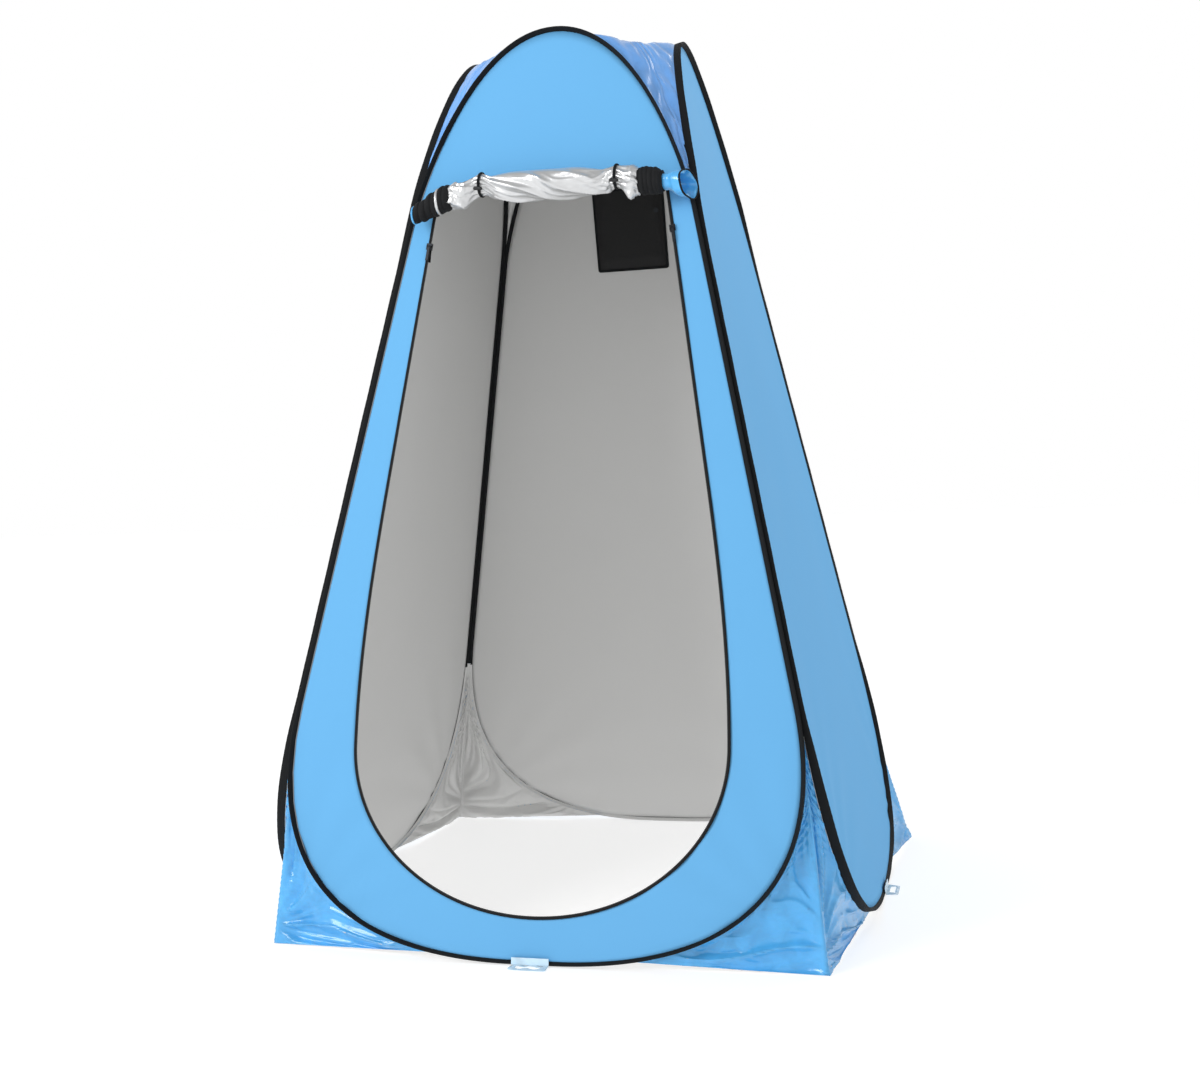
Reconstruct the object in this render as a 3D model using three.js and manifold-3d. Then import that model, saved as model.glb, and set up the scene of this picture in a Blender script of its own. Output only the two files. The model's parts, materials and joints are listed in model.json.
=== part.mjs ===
// Pop-up privacy shower tent, millimetres, +Z up, origin on the ground under the middle of the cabin.
// Four equal egg-shaped spring hoops lean together. Each hoop is a wire in a cloth sleeve round a cloth
// wall. Neighbouring hoops are sewn along the slanting corner seams, and the tent folds on those seams.
import * as THREE from 'three';
import { mergeVertices } from 'three/addons/utils/BufferGeometryUtils.js';
import Module from 'manifold-3d';

// ---- driving dimensions -------------------------------------------------------------------------
const HEIGHT = 1900;                              // ground to the top of the hoops
const HALF = 625;                                 // ground distance from the axis to each wall plane
const LEAN = THREE.MathUtils.degToRad(11.7);      // each wall leans in by this much
const GAP = 0.3;                                  // left between pieces that touch
const MERGE = 1e-4;                               // points closer than this are one

// Hoop outline in its own plane: x across, y up the slope
const HOOP = {
  flat: 40,                                       // half of the straight bottom run
  bottomHandle: 372,                              // pull of the bottom curve along the ground
  seamFoot: 500, seamFootHandle: 330,             // height where the corner seam starts, pull of the curve
  seamHead: 1520, seamHeadHandle: 60,             // height where it ends
  topHandle: 192,                                 // pull of the top curve across the top
  lowerSteps: 13, upperSteps: 12,                 // straight steps in each curve
};
const OPEN_SEAM = 5;                              // extra room on each side of the loose corner seam

const WIRE = { radius: 1.6, sides: 6, endGap: 0.6 };
const FERRULE = { length: 44, outer: 2.6, inner: 1.95, sides: 12 };
const SLEEVE = { out: 4, in: 5, wall: 1, halfWidth: 5, slit: 0.8 };
const CLOTH = { half: 0.5, tuck: 4.2 };           // wall cloth: half thickness, edge inside the sleeve

// Ground-corner gussets and the roof
const GUSSET = { half: 0.7, firstX: 190, seamClear: 5.6, hem: 1.2, minWidth: 4 };
const ROOF = { under: 6.5, centreHeight: 1858, half: 1.4, cornerHeight: 1640, droop: 2.2, rings: 5 };
const PEG_TAB = { width: 76, leg: 16, foot: 28, thick: 1.4, slotWidth: 50, slotDepth: 12, slotIn: 8 };

// Doorway: centre line of the zip that edges it, in the front wall's plane
const DOOR = {
  sill: 90, sillHandle: 215,
  wide: 386, wideAt: 420, lowHandle: 185,
  kneeX: 338, kneeAt: 960, kneeHandle: 184,       // above the knee the sides run straight
  shoulderX: 255, shoulderAt: 1540,
  crown: 1590, crownHandle: 170, shoulderHandle: 30,
  lowSteps: 10, sideSteps: 5, topSteps: 5,
};
const ZIP = { halfWidth: 4, half: 0.8, pastShoulder: 14 };
const SLIDER = { width: 12.4, length: 14, half: 2.9, slotHalf: 1.25, lip: 1.6, topAt: 1472 };
const CHEEK = { thick: 1.2, length: 4.4, rise: 3.4, spread: 4.2, root: 0.2, aboveBar: 1.4 };
const PULL = { width: 5.6, length: 30, half: 0.7, barRadius: 0.8, barSides: 8, eyeRadius: 1.3, eyeSides: 12 };
const PULL_PIVOT = SLIDER.half + CHEEK.rise - CHEEK.aboveBar;

// The rolled-up door: stations [x, distance up the slope, radius] along its length
const ROLL = {
  stand: 40,                                      // axis in front of the wall plane
  cloth: [[-204, 1563, 23], [-190, 1568, 28], [-136, 1584, 23], [-60, 1582, 31], [60, 1580, 31],
    [156, 1576, 23], [190, 1567, 29], [205, 1563, 25]],
  leftWinding: [[-286, 1529, 18], [-268, 1537, 21], [-240, 1550, 25], [-216, 1560, 27], [-206, 1562, 24]],
  rightWinding: [[207, 1563, 25], [213, 1562, 28], [240, 1560, 27], [252, 1558, 22]],
  cuff: [[254, 1557, 16], [262, 1556, 17], [288, 1550, 27], [306, 1547, 30]],
  clothSides: 18, windingSides: 16,
};
const TIE = { at: [-136, 156], width: 7, thick: 1.6, clear: 1.4, sides: 24 };
const TOGGLE = { radius: 4, length: 20, clear: 3, roundRoll: -0.6, slant: 0.1, capSides: 4, sides: 10 };
const POCKET = {
  width: 174, height: 198, bottomAt: 1487, across: -25, room: 12, wall: 1, binding: 10, bindingThick: 1.2,
};
const SNAP = { face: 5, base: 6, thick: 2.4, fromSide: 16, belowMouth: 60, sides: 16 };

const COLOUR = {
  wall: 0x75bdee, gusset: 0x4f9fdd, band: 0x14181c, silver: 0xc9cbce, steel: 0x8d9196,
  zip: 0x17191c, mesh: 0x1c1c1c, tab: 0xbcd6e8, metal: 0x2c2e31,
};

// ---- solids -------------------------------------------------------------------------------------
const wasm = await Module();
wasm.setup();

/** A closed three.js geometry as a manifold solid. */
function solid(geometry) {
  const bare = geometry.clone();
  for (const name of ['normal', 'uv']) bare.deleteAttribute(name);
  const merged = mergeVertices(bare, MERGE);
  const mesh = new wasm.Mesh({
    numProp: 3,
    vertProperties: new Float32Array(merged.attributes.position.array),
    triVerts: new Uint32Array(merged.index.array),
  });
  return new wasm.Manifold(mesh);
}

/** A manifold solid as a three.js geometry. */
function geometryOf(manifold) {
  const mesh = manifold.getMesh();
  const geometry = new THREE.BufferGeometry();
  geometry.setAttribute('position', new THREE.BufferAttribute(mesh.vertProperties, 3));
  geometry.setIndex(new THREE.BufferAttribute(mesh.triVerts, 1));
  geometry.computeVertexNormals();
  return geometry;
}

const cut = (body, ...tools) =>
  geometryOf(tools.reduce((left, tool) => left.subtract(solid(tool)), solid(body)));
const join = (...pieces) => geometryOf(pieces.map(solid).reduce((sum, piece) => sum.add(piece)));

/** Flat plate of a closed outline, between two heights along the plane's normal. */
function plate(points, low, high, holes = []) {
  const shape = new THREE.Shape(points);
  shape.holes = holes.map((hole) => new THREE.Path(hole));
  return new THREE.ExtrudeGeometry(shape, { depth: high - low, bevelEnabled: false }).translate(0, 0, low);
}

const block = (size, centre) => new THREE.BoxGeometry(...size).translate(...centre);
const rod = (radius, length, sides) =>
  new THREE.CylinderGeometry(radius, radius, length, sides).rotateZ(Math.PI / 2);      // along x

/** Solid of revolution that follows a bent axis: stations of [x, y, radius], closed at both ends. */
function bentTurning(stations, sides) {
  const profile = [[stations[0][0], 0], ...stations.map(([x, , r]) => [x, r]), [stations.at(-1)[0], 0]];
  const lathe = new THREE.LatheGeometry(profile.map(([x, r]) => new THREE.Vector2(r, x)), sides);
  lathe.rotateZ(-Math.PI / 2);                    // the lathe's axis now runs along +x
  const position = lathe.attributes.position;
  for (let i = 0; i < position.count; i++) {
    const x = position.getX(i);
    const last = stations.findIndex((station) => station[0] >= x - MERGE);
    const next = stations[Math.max(last, 1)];
    const before = stations[Math.max(last, 1) - 1];
    const along = (x - before[0]) / (next[0] - before[0]);
    position.setY(i, position.getY(i) + THREE.MathUtils.lerp(before[1], next[1], along));
  }
  return lathe;
}

// ---- outlines in a wall's plane: x across, y up the slope ----------------------------------------
const sine = Math.sin(LEAN);
const cosine = Math.cos(LEAN);
const BOTTOM = SLEEVE.halfWidth * Math.tan(LEAN) + SLEEVE.out;              // wire line above the ground
const TOP = (HEIGHT - SLEEVE.halfWidth * sine) / cosine - SLEEVE.out;       // wire line at the top
const SEAM_UP = new THREE.Vector2(-sine, 1).normalize();                    // a corner seam's direction
const HALF_CORNER = Math.acos(-sine * sine) / 2;                            // half the angle between walls

/** How far across the corner seam lies at a height up the slope, less a clearance square to it. */
const seamX = (y, clear = 0) => HALF - y * sine - clear / SEAM_UP.y;

/** Right half of the hoop's wire line, from the bottom centre to the top centre. */
function halfHoop(extra) {
  const clear = SLEEVE.out + SLEEVE.halfWidth / Math.tan(HALF_CORNER) + GAP + extra;
  const foot = new THREE.Vector2(seamX(HOOP.seamFoot, clear), HOOP.seamFoot);
  const head = new THREE.Vector2(seamX(HOOP.seamHead, clear), HOOP.seamHead);
  const footPull = foot.clone().addScaledVector(SEAM_UP, -HOOP.seamFootHandle);
  const headPull = head.clone().addScaledVector(SEAM_UP, HOOP.seamHeadHandle);
  const low = new THREE.CubicBezierCurve(new THREE.Vector2(HOOP.flat, BOTTOM),
    new THREE.Vector2(HOOP.flat + HOOP.bottomHandle, BOTTOM), footPull, foot);
  const high = new THREE.CubicBezierCurve(head, headPull, new THREE.Vector2(HOOP.topHandle, TOP),
    new THREE.Vector2(0, TOP));
  return [...low.getPoints(HOOP.lowerSteps), ...high.getPoints(HOOP.upperSteps)];
}

/** Whole wire line, anticlockwise from just right of the bottom centre; extra room at either seam. */
function hoopLine(extraLeft, extraRight) {
  const right = halfHoop(extraRight);
  const left = halfHoop(extraLeft).map((p) => new THREE.Vector2(-p.x, p.y)).reverse();
  return [...right, ...left.slice(1)];
}

/** The closed line moved outwards by a distance. */
function moveOut(line, distance) {
  return line.map((point, i) => {
    const ahead = line[(i + 1) % line.length];
    const behind = line[(i + line.length - 1) % line.length];
    const first = point.clone().sub(behind).normalize();
    const second = ahead.clone().sub(point).normalize();
    const along = first.clone().add(second).normalize();
    const stretch = distance / Math.max(0.5, along.dot(first));
    return new THREE.Vector2(point.x + along.y * stretch, point.y - along.x * stretch);
  });
}

const ring = (line, outer, inner, half) =>
  plate(moveOut(line, outer), -half, half, [moveOut(line, inner)]);

/** A curve that visits given points one by one, for sweeping a section along them. */
class PointRun extends THREE.Curve {
  constructor(points) {
    super();
    this.points = points;
  }
  getPoint(t) {
    const place = t * (this.points.length - 1);
    const i = Math.min(Math.floor(place), this.points.length - 2);
    return this.points[i].clone().lerp(this.points[i + 1], place - i);
  }
  getPointAt(t) {
    return this.getPoint(t);
  }
  getTangentAt(t) {
    const i = Math.round(t * (this.points.length - 1));
    const ahead = this.points[Math.min(i + 1, this.points.length - 1)];
    return ahead.clone().sub(this.points[Math.max(i - 1, 0)]).normalize();
  }
}

const circle = (radius, sides) => new THREE.EllipseCurve(0, 0, radius, radius).getPoints(sides).slice(1);

// ---- pieces of one hoop --------------------------------------------------------------------------
function wireGeometry(line) {
  const end = new THREE.Vector3(WIRE.endGap, BOTTOM, 0);
  const start = new THREE.Vector3(-WIRE.endGap, BOTTOM, 0);
  const run = [end, ...line.map((p) => new THREE.Vector3(p.x, p.y, 0)), start];
  const section = new THREE.Shape(circle(WIRE.radius, WIRE.sides));
  return new THREE.ExtrudeGeometry(section, { steps: run.length - 1, extrudePath: new PointRun(run) });
}

function ferruleGeometry() {
  const half = FERRULE.length / 2;
  const { outer, inner, sides } = FERRULE;
  return plate(circle(outer, sides), -half, half, [circle(inner, sides)])
    .rotateY(Math.PI / 2).translate(0, BOTTOM, 0);
}

function sleeveGeometry(line) {
  const { out, in: inwards, wall, halfWidth } = SLEEVE;
  const body = ring(line, out, -inwards, halfWidth);
  const pocket = ring(line, out - wall, wall - inwards, halfWidth - wall);
  const slit = ring(line, -wall, -inwards - wall, SLEEVE.slit);
  return cut(body, pocket, slit);
}

const wallOutline = (line) => moveOut(line, -CLOTH.tuck);

/** One half of a corner gusset: between the hoop's lower curve, the corner seam and the ground. */
function gussetGeometry(line, side, extra) {
  const clear = GUSSET.seamClear + extra;
  const outside = moveOut(line, SLEEVE.out + GAP).map((p) => new THREE.Vector2(p.x * side, p.y));
  const edge = outside.filter((p) => p.x > GUSSET.firstX && p.y < HOOP.seamFoot
    && seamX(p.y, clear) - p.x > GUSSET.minWidth);
  edge.sort((a, b) => a.y - b.y);
  const hem = GUSSET.hem;
  const outline = [new THREE.Vector2(edge[0].x, hem), new THREE.Vector2(seamX(hem, clear), hem),
    new THREE.Vector2(seamX(edge.at(-1).y, clear), edge.at(-1).y), ...edge.reverse()];
  if (side < 0) outline.forEach((p) => p.setX(-p.x));
  return plate(outline, -GUSSET.half, GUSSET.half);
}

/** Peg tab: a leg over the sleeve's outer face and a slotted foot on the ground. */
function pegTabGeometry() {
  const face = SLEEVE.halfWidth + GAP;            // the leg's inner face, off the wall plane
  const at = (n, y) => new THREE.Vector2(-HALF + y * sine - n * cosine, y * cosine + n * sine);
  const inner = at(face, 0).x - at(face, 0).y * Math.tan(LEAN);
  const knee = inner + PEG_TAB.thick * Math.tan(LEAN) - PEG_TAB.thick / cosine;
  const profile = [new THREE.Vector2(inner, 0), at(face, PEG_TAB.leg), at(face + PEG_TAB.thick, PEG_TAB.leg),
    new THREE.Vector2(knee, PEG_TAB.thick), new THREE.Vector2(inner - PEG_TAB.foot, PEG_TAB.thick),
    new THREE.Vector2(inner - PEG_TAB.foot, 0)];
  const strip = plate(profile, -PEG_TAB.width / 2, PEG_TAB.width / 2);
  strip.applyMatrix4(new THREE.Matrix4().makeBasis(
    new THREE.Vector3(0, 1, 0), new THREE.Vector3(0, 0, 1), new THREE.Vector3(1, 0, 0)));
  const middle = inner - PEG_TAB.slotIn - PEG_TAB.slotDepth / 2;
  return cut(strip, block([PEG_TAB.slotWidth, PEG_TAB.slotDepth, PEG_TAB.leg], [0, middle, 0]));
}

// ---- pieces of the doorway and the wall ----------------------------------------------------------
function doorwayLine() {
  const v = (x, y) => new THREE.Vector2(x, y);
  const rise = (DOOR.shoulderX - DOOR.kneeX) / (DOOR.shoulderAt - DOOR.kneeAt);
  const low = new THREE.CubicBezierCurve(v(0, DOOR.sill), v(DOOR.sillHandle, DOOR.sill),
    v(DOOR.wide, DOOR.wideAt - DOOR.lowHandle), v(DOOR.wide, DOOR.wideAt));
  const side = new THREE.CubicBezierCurve(v(DOOR.wide, DOOR.wideAt),
    v(DOOR.wide, DOOR.wideAt + DOOR.kneeHandle),
    v(DOOR.kneeX - rise * DOOR.kneeHandle, DOOR.kneeAt - DOOR.kneeHandle), v(DOOR.kneeX, DOOR.kneeAt));
  const top = new THREE.CubicBezierCurve(v(DOOR.shoulderX, DOOR.shoulderAt),
    v(DOOR.shoulderX + rise * DOOR.shoulderHandle, DOOR.shoulderAt + DOOR.shoulderHandle),
    v(DOOR.crownHandle, DOOR.crown), v(0, DOOR.crown));
  const right = [...low.getPoints(DOOR.lowSteps), ...side.getPoints(DOOR.sideSteps).slice(1),
    ...top.getPoints(DOOR.topSteps)];
  return [...right, ...right.slice(1, -1).map((p) => v(-p.x, p.y)).reverse()];
}

/** Zip along the doorway's sides and sill; it stops at the shoulders, where the door stays joined. */
function doorwayZipGeometry(line) {
  const band = ring(line, ZIP.halfWidth, -ZIP.halfWidth, ZIP.half);
  const end = DOOR.shoulderAt + ZIP.pastShoulder;
  const above = block([4 * DOOR.wide, HEIGHT, 4 * ZIP.halfWidth], [0, end + HEIGHT / 2, 0]);
  return cut(band, above);
}

/** Slider in its own frame: +x away from the doorway, y along the zip, z out of the wall. */
function sliderGeometry() {
  const body = block([SLIDER.width, SLIDER.length, 2 * SLIDER.half], [0, 0, 0]);
  const slot = block([SLIDER.width, 2 * SLIDER.length, 2 * SLIDER.slotHalf], [SLIDER.lip, 0, 0]);
  const fittings = [];
  for (const face of [-1, 1]) {
    const z = face * (SLIDER.half + CHEEK.rise / 2 - CHEEK.root);
    for (const x of [-1, 1]) {
      const cheek = [CHEEK.thick, CHEEK.length, CHEEK.rise + 2 * CHEEK.root];
      fittings.push(block(cheek, [x * CHEEK.spread, 0, z]));
    }
    fittings.push(rod(PULL.barRadius, 2 * CHEEK.spread, PULL.barSides).translate(0, 0, face * PULL_PIVOT));
  }
  return join(cut(body, slot), ...fittings);
}

/** Pull in its own frame: it hangs along -y from an eye on the x axis. */
function pullGeometry() {
  const eye = rod(PULL.eyeRadius + PULL.half, PULL.width, PULL.eyeSides);
  const tongue = block([PULL.width, PULL.length, 2 * PULL.half], [0, -PULL.length / 2 - PULL.eyeRadius, 0]);
  const bore = rod(PULL.eyeRadius, 2 * PULL.width, PULL.eyeSides);
  return geometryOf(solid(eye).add(solid(tongue)).subtract(solid(bore)));
}

/** Radius of the rolled cloth at x, and its axis' distance up the slope. */
function rollAt(x) {
  const next = ROLL.cloth.findIndex((station) => station[0] >= x);
  const [before, after] = [ROLL.cloth[next - 1], ROLL.cloth[next]];
  const along = (x - before[0]) / (after[0] - before[0]);
  const [up, radius] = [1, 2].map((k) => THREE.MathUtils.lerp(before[k], after[k], along));
  return { up, radius };
}

/** A cloth tie round the roll, just clear of it. */
function tieGeometry(x) {
  const radii = [x - TIE.width, x, x + TIE.width].map((place) => rollAt(place).radius);
  const inner = Math.max(...radii) + TIE.clear;
  const rings = [inner + TIE.thick, inner].map((radius) => circle(radius, TIE.sides));
  return plate(rings[0], -TIE.width / 2, TIE.width / 2, [rings[1]])
    .rotateY(Math.PI / 2).translate(x, rollAt(x).up, ROLL.stand);
}

/** Toggle on the front of the roll, over its tie. */
function toggleGeometry(x) {
  const { radius, up } = rollAt(x);
  const lift = radius + TIE.thick + TOGGLE.radius + TOGGLE.clear;
  const straight = TOGGLE.length - 2 * TOGGLE.radius;
  return new THREE.CapsuleGeometry(TOGGLE.radius, straight, TOGGLE.capSides, TOGGLE.sides)
    .rotateZ(Math.PI / 2 - TOGGLE.slant)
    .translate(x, up + lift * Math.sin(TOGGLE.roundRoll), ROLL.stand + lift * Math.cos(TOGGLE.roundRoll));
}

/** Open-topped pocket on the inner side of the back wall. */
function pocketGeometry() {
  const depth = POCKET.room + 2 * POCKET.wall;
  const middle = -(CLOTH.half + GAP + depth / 2);
  const centre = POCKET.bottomAt + POCKET.height / 2;
  const bag = block([POCKET.width, POCKET.height, depth], [POCKET.across, centre, middle]);
  const room = block([POCKET.width - 2 * POCKET.wall, POCKET.height, POCKET.room],
    [POCKET.across, centre + POCKET.wall, middle]);
  return cut(bag, room);
}

const POCKET_FACE = -(CLOTH.half + 2 * GAP + POCKET.room + 2 * POCKET.wall);
const POCKET_MOUTH = POCKET.bottomAt + POCKET.height;

/** Folded binding along the pocket's mouth, standing in front of the bag. */
function pocketBindingGeometry() {
  return block([POCKET.width, POCKET.binding, POCKET.bindingThick],
    [POCKET.across, POCKET_MOUTH - POCKET.binding / 2, POCKET_FACE - POCKET.bindingThick / 2]);
}

function pocketSnapGeometry() {
  const place = [POCKET.across + SNAP.fromSide - POCKET.width / 2, POCKET_MOUTH - SNAP.belowMouth,
    POCKET_FACE - SNAP.thick / 2];
  return new THREE.CylinderGeometry(SNAP.face, SNAP.base, SNAP.thick, SNAP.sides)
    .rotateX(Math.PI / 2).translate(...place);
}

// ---- roof ----------------------------------------------------------------------------------------
const UP = new THREE.Vector3(0, 0, 1);

/** Height and spread of the roof's edge: it follows the top of each hoop, on the inner side. */
function roofEdge(line) {
  const arc = line.filter((p) => p.y * cosine > ROOF.cornerHeight && Math.abs(p.x) > 1)
    .concat(new THREE.Vector2(0, TOP)).sort((a, b) => a.x - b.x);
  const points = [];
  for (let quarter = 0; quarter < 4; quarter++) {
    for (const p of arc) {
      const inwards = -HALF + p.y * sine + ROOF.under * cosine;
      const place = new THREE.Vector3(p.x, inwards, p.y * cosine - ROOF.under * sine);
      points.push(place.applyAxisAngle(UP, quarter * Math.PI / 2));
    }
  }
  return points;
}

/** The roof: rings from the middle out to the edge on top, and back again underneath. */
function roofGeometry(line) {
  const edge = roofEdge(line);
  const outwards = [...Array(ROOF.rings + 1).keys()];
  const reach = [...outwards, ...outwards.toReversed()];
  const profile = reach.map((out, i) => new THREE.Vector2(out, -i));
  const shell = new THREE.LatheGeometry(profile, edge.length);
  const position = shell.attributes.position;
  const count = profile.length;
  for (let i = 0; i < position.count; i++) {
    const step = i % count;
    const rim = edge[(edge.length - Math.floor(i / count)) % edge.length];
    const out = reach[step] / ROOF.rings;
    const face = step <= ROOF.rings ? 1 : -1;
    const height = THREE.MathUtils.lerp(ROOF.centreHeight, rim.z, out ** ROOF.droop);
    position.setXYZ(i, rim.x * out, rim.y * out, height + face * ROOF.half);
  }
  return shell;
}

/** Drops the flat triangles at a lathe's poles. */
function cleaned(geometry) {
  return geometryOf(solid(geometry));
}

/** The quarter of the roof that is sewn to the front hoop: the roof inside a wedge about -y. */
function frontGore(roof) {
  const reach = 2 * HALF;
  const wedge = new THREE.Shape([new THREE.Vector2(0, -GAP), new THREE.Vector2(-reach, -reach - GAP),
    new THREE.Vector2(reach, -reach - GAP)]);
  const prism = new THREE.ExtrudeGeometry(wedge, { depth: HEIGHT, bevelEnabled: false });
  return geometryOf(solid(roof).intersect(solid(prism)));
}

// ---- assembly ------------------------------------------------------------------------------------
const material = (color, roughness, metalness = 0) =>
  new THREE.MeshStandardMaterial({ color, roughness, metalness, side: THREE.DoubleSide });
const finish = {
  wall: material(COLOUR.wall, 0.75), gusset: material(COLOUR.gusset, 0.35), band: material(COLOUR.band, 0.8),
  silver: material(COLOUR.silver, 0.35, 0.4), steel: material(COLOUR.steel, 0.35, 1),
  zip: material(COLOUR.zip, 0.7), mesh: material(COLOUR.mesh, 0.9), tab: material(COLOUR.tab, 0.6),
  metal: material(COLOUR.metal, 0.3, 1),
};

function piece(name, geometry, look) {
  const mesh = new THREE.Mesh(geometry, look);
  mesh.name = name;
  return mesh;
}

/** A group that stands in a wall's plane: x across, y up the slope, z out of the tent. */
function wallFrame(quarter) {
  const turn = new THREE.Group();
  turn.rotation.z = quarter * Math.PI / 2;
  const plane = new THREE.Group();
  plane.position.set(0, -HALF, 0);
  plane.rotation.x = Math.PI / 2 - LEAN;
  turn.add(plane);
  return { turn, plane };
}

const tent = new THREE.Group();
const walls = {};
const doorway = doorwayLine();
const gore = frontGore(roofGeometry(hoopLine(0, 0)));

// Extra room is left only at the loose seam, between the front and the left wall.
const SIDES = [['front', OPEN_SEAM, 0], ['right', 0, 0], ['back', 0, 0], ['left', 0, OPEN_SEAM]];
SIDES.forEach(([side, extraLeft, extraRight], quarter) => {
  const line = hoopLine(extraLeft, extraRight);
  const { turn, plane } = wallFrame(quarter);
  const holes = side === 'front' ? [moveOut(doorway, ZIP.halfWidth + GAP)] : [];
  plane.add(
    piece(`${side}_hoop_wire`, wireGeometry(line), finish.steel),
    piece(`${side}_hoop_ferrule`, ferruleGeometry(), finish.steel),
    piece(`${side}_hoop_sleeve`, sleeveGeometry(line), finish.band),
    piece(`${side}_wall`, plate(wallOutline(line), -CLOTH.half, CLOTH.half, holes), finish.wall),
    piece(`${side}_gusset_left`, gussetGeometry(line, -1, extraLeft), finish.gusset),
    piece(`${side}_gusset_right`, gussetGeometry(line, 1, extraRight), finish.gusset),
  );
  turn.add(
    piece(`${side}_peg_tab`, pegTabGeometry(), finish.tab),
    piece(`${side}_roof_gore`, gore, finish.gusset),
  );
  walls[side] = plane;
  tent.add(turn);
});

// Doorway zip, its two sliders and their pulls
const front = walls.front;
front.add(piece('doorway_zip', doorwayZipGeometry(doorway), finish.zip));
const zipLean = Math.atan2(DOOR.kneeX - DOOR.shoulderX, DOOR.shoulderAt - DOOR.kneeAt);
for (const [name, side] of [['left', -1], ['right', 1]]) {
  const carrier = new THREE.Group();
  const x = DOOR.shoulderX + (DOOR.shoulderAt - SLIDER.topAt) * Math.tan(zipLean);
  carrier.position.set(side * x, SLIDER.topAt, 0);
  carrier.rotation.z = side * zipLean;
  const slider = sliderGeometry();
  if (side < 0) slider.rotateZ(Math.PI);
  carrier.add(piece(`zip_slider_${name}`, slider, finish.metal));
  const outer = piece(`zip_pull_outer_${name}`, pullGeometry(), finish.metal);
  outer.position.z = PULL_PIVOT;
  const inner = piece(`zip_pull_inner_${name}`, pullGeometry(), finish.metal);
  inner.position.z = -PULL_PIVOT;
  inner.rotation.x = LEAN;
  carrier.add(outer, inner);
  front.add(carrier);
}

// Rolled door with its wound zip ends, cuff, ties and toggles
const roll = new THREE.Group();
roll.position.z = ROLL.stand;
roll.add(
  piece('door_roll', cleaned(bentTurning(ROLL.cloth, ROLL.clothSides)), finish.silver),
  piece('door_zip_winding_left', cleaned(bentTurning(ROLL.leftWinding, ROLL.windingSides)), finish.zip),
  piece('door_zip_winding_right', cleaned(bentTurning(ROLL.rightWinding, ROLL.windingSides)), finish.zip),
  piece('door_roll_cuff', cleaned(bentTurning(ROLL.cuff, ROLL.windingSides)), finish.gusset),
);
front.add(roll);
TIE.at.forEach((x, i) => {
  const name = ['left', 'right'][i];
  front.add(piece(`door_tie_${name}`, tieGeometry(x), finish.band));
  front.add(piece(`door_toggle_${name}`, toggleGeometry(x), finish.mesh));
});

// Storage pocket inside the back wall
walls.back.add(
  piece('wall_pocket', pocketGeometry(), finish.mesh),
  piece('pocket_binding', pocketBindingGeometry(), finish.mesh),
  piece('pocket_snap', pocketSnapGeometry(), finish.metal),
);

export default tent;
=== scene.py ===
import json
import math

import bpy
import numpy as np
from bpy.props import FloatProperty, FloatVectorProperty, IntProperty, PointerProperty
from bpy.types import Operator, Panel, PropertyGroup
from mathutils import Matrix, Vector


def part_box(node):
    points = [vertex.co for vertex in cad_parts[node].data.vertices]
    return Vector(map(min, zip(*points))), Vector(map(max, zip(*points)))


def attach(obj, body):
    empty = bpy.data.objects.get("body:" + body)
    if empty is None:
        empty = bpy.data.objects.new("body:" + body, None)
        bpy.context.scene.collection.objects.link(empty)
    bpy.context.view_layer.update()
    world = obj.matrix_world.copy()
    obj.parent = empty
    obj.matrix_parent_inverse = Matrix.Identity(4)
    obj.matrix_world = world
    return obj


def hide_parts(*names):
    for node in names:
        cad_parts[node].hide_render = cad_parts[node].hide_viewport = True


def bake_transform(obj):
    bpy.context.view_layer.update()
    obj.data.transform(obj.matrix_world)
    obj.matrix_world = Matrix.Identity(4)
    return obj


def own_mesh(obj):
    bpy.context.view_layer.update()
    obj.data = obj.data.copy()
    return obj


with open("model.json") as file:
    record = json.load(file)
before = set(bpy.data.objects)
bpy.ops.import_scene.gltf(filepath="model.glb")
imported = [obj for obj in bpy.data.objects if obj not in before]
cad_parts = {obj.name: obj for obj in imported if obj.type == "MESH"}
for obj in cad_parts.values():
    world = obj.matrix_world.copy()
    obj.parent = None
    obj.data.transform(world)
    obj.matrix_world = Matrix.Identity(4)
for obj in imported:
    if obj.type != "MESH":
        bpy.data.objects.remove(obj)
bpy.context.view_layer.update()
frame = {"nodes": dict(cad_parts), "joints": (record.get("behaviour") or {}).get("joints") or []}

bl_info = {
    "name": "Privacy shower tent",
    "version": (1, 0, 0),
    "blender": (4, 5, 0),
    "location": "3D View > Sidebar > Tent",
    "description": "Builds the cloth, bindings, zip and rolled door of a pop-up shower tent round its frame",
    "category": "Add Mesh",
}

# ---- the tent's layout, read from the frame -------------------------------------------------------
SIDES = ("front", "right", "back", "left")
MM = 0.001
FOLD = next(j for j in frame["joints"] if j["name"] == "left_fold")
LEAN = math.atan2(abs(FOLD["axis"][0]), FOLD["axis"][2])    # each wall leans in by this angle
SIN, COS = math.sin(LEAN), math.cos(LEAN)
SLEEVE_HALF = 5 * MM                                        # CAD sleeve, half its width square to the wall
HALF = abs(FOLD["pos_m"][0]) + (SLEEVE_HALF + 0.15 * MM) / COS   # axis to each wall plane on the ground
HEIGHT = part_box("front_hoop_sleeve")[1].z

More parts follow.
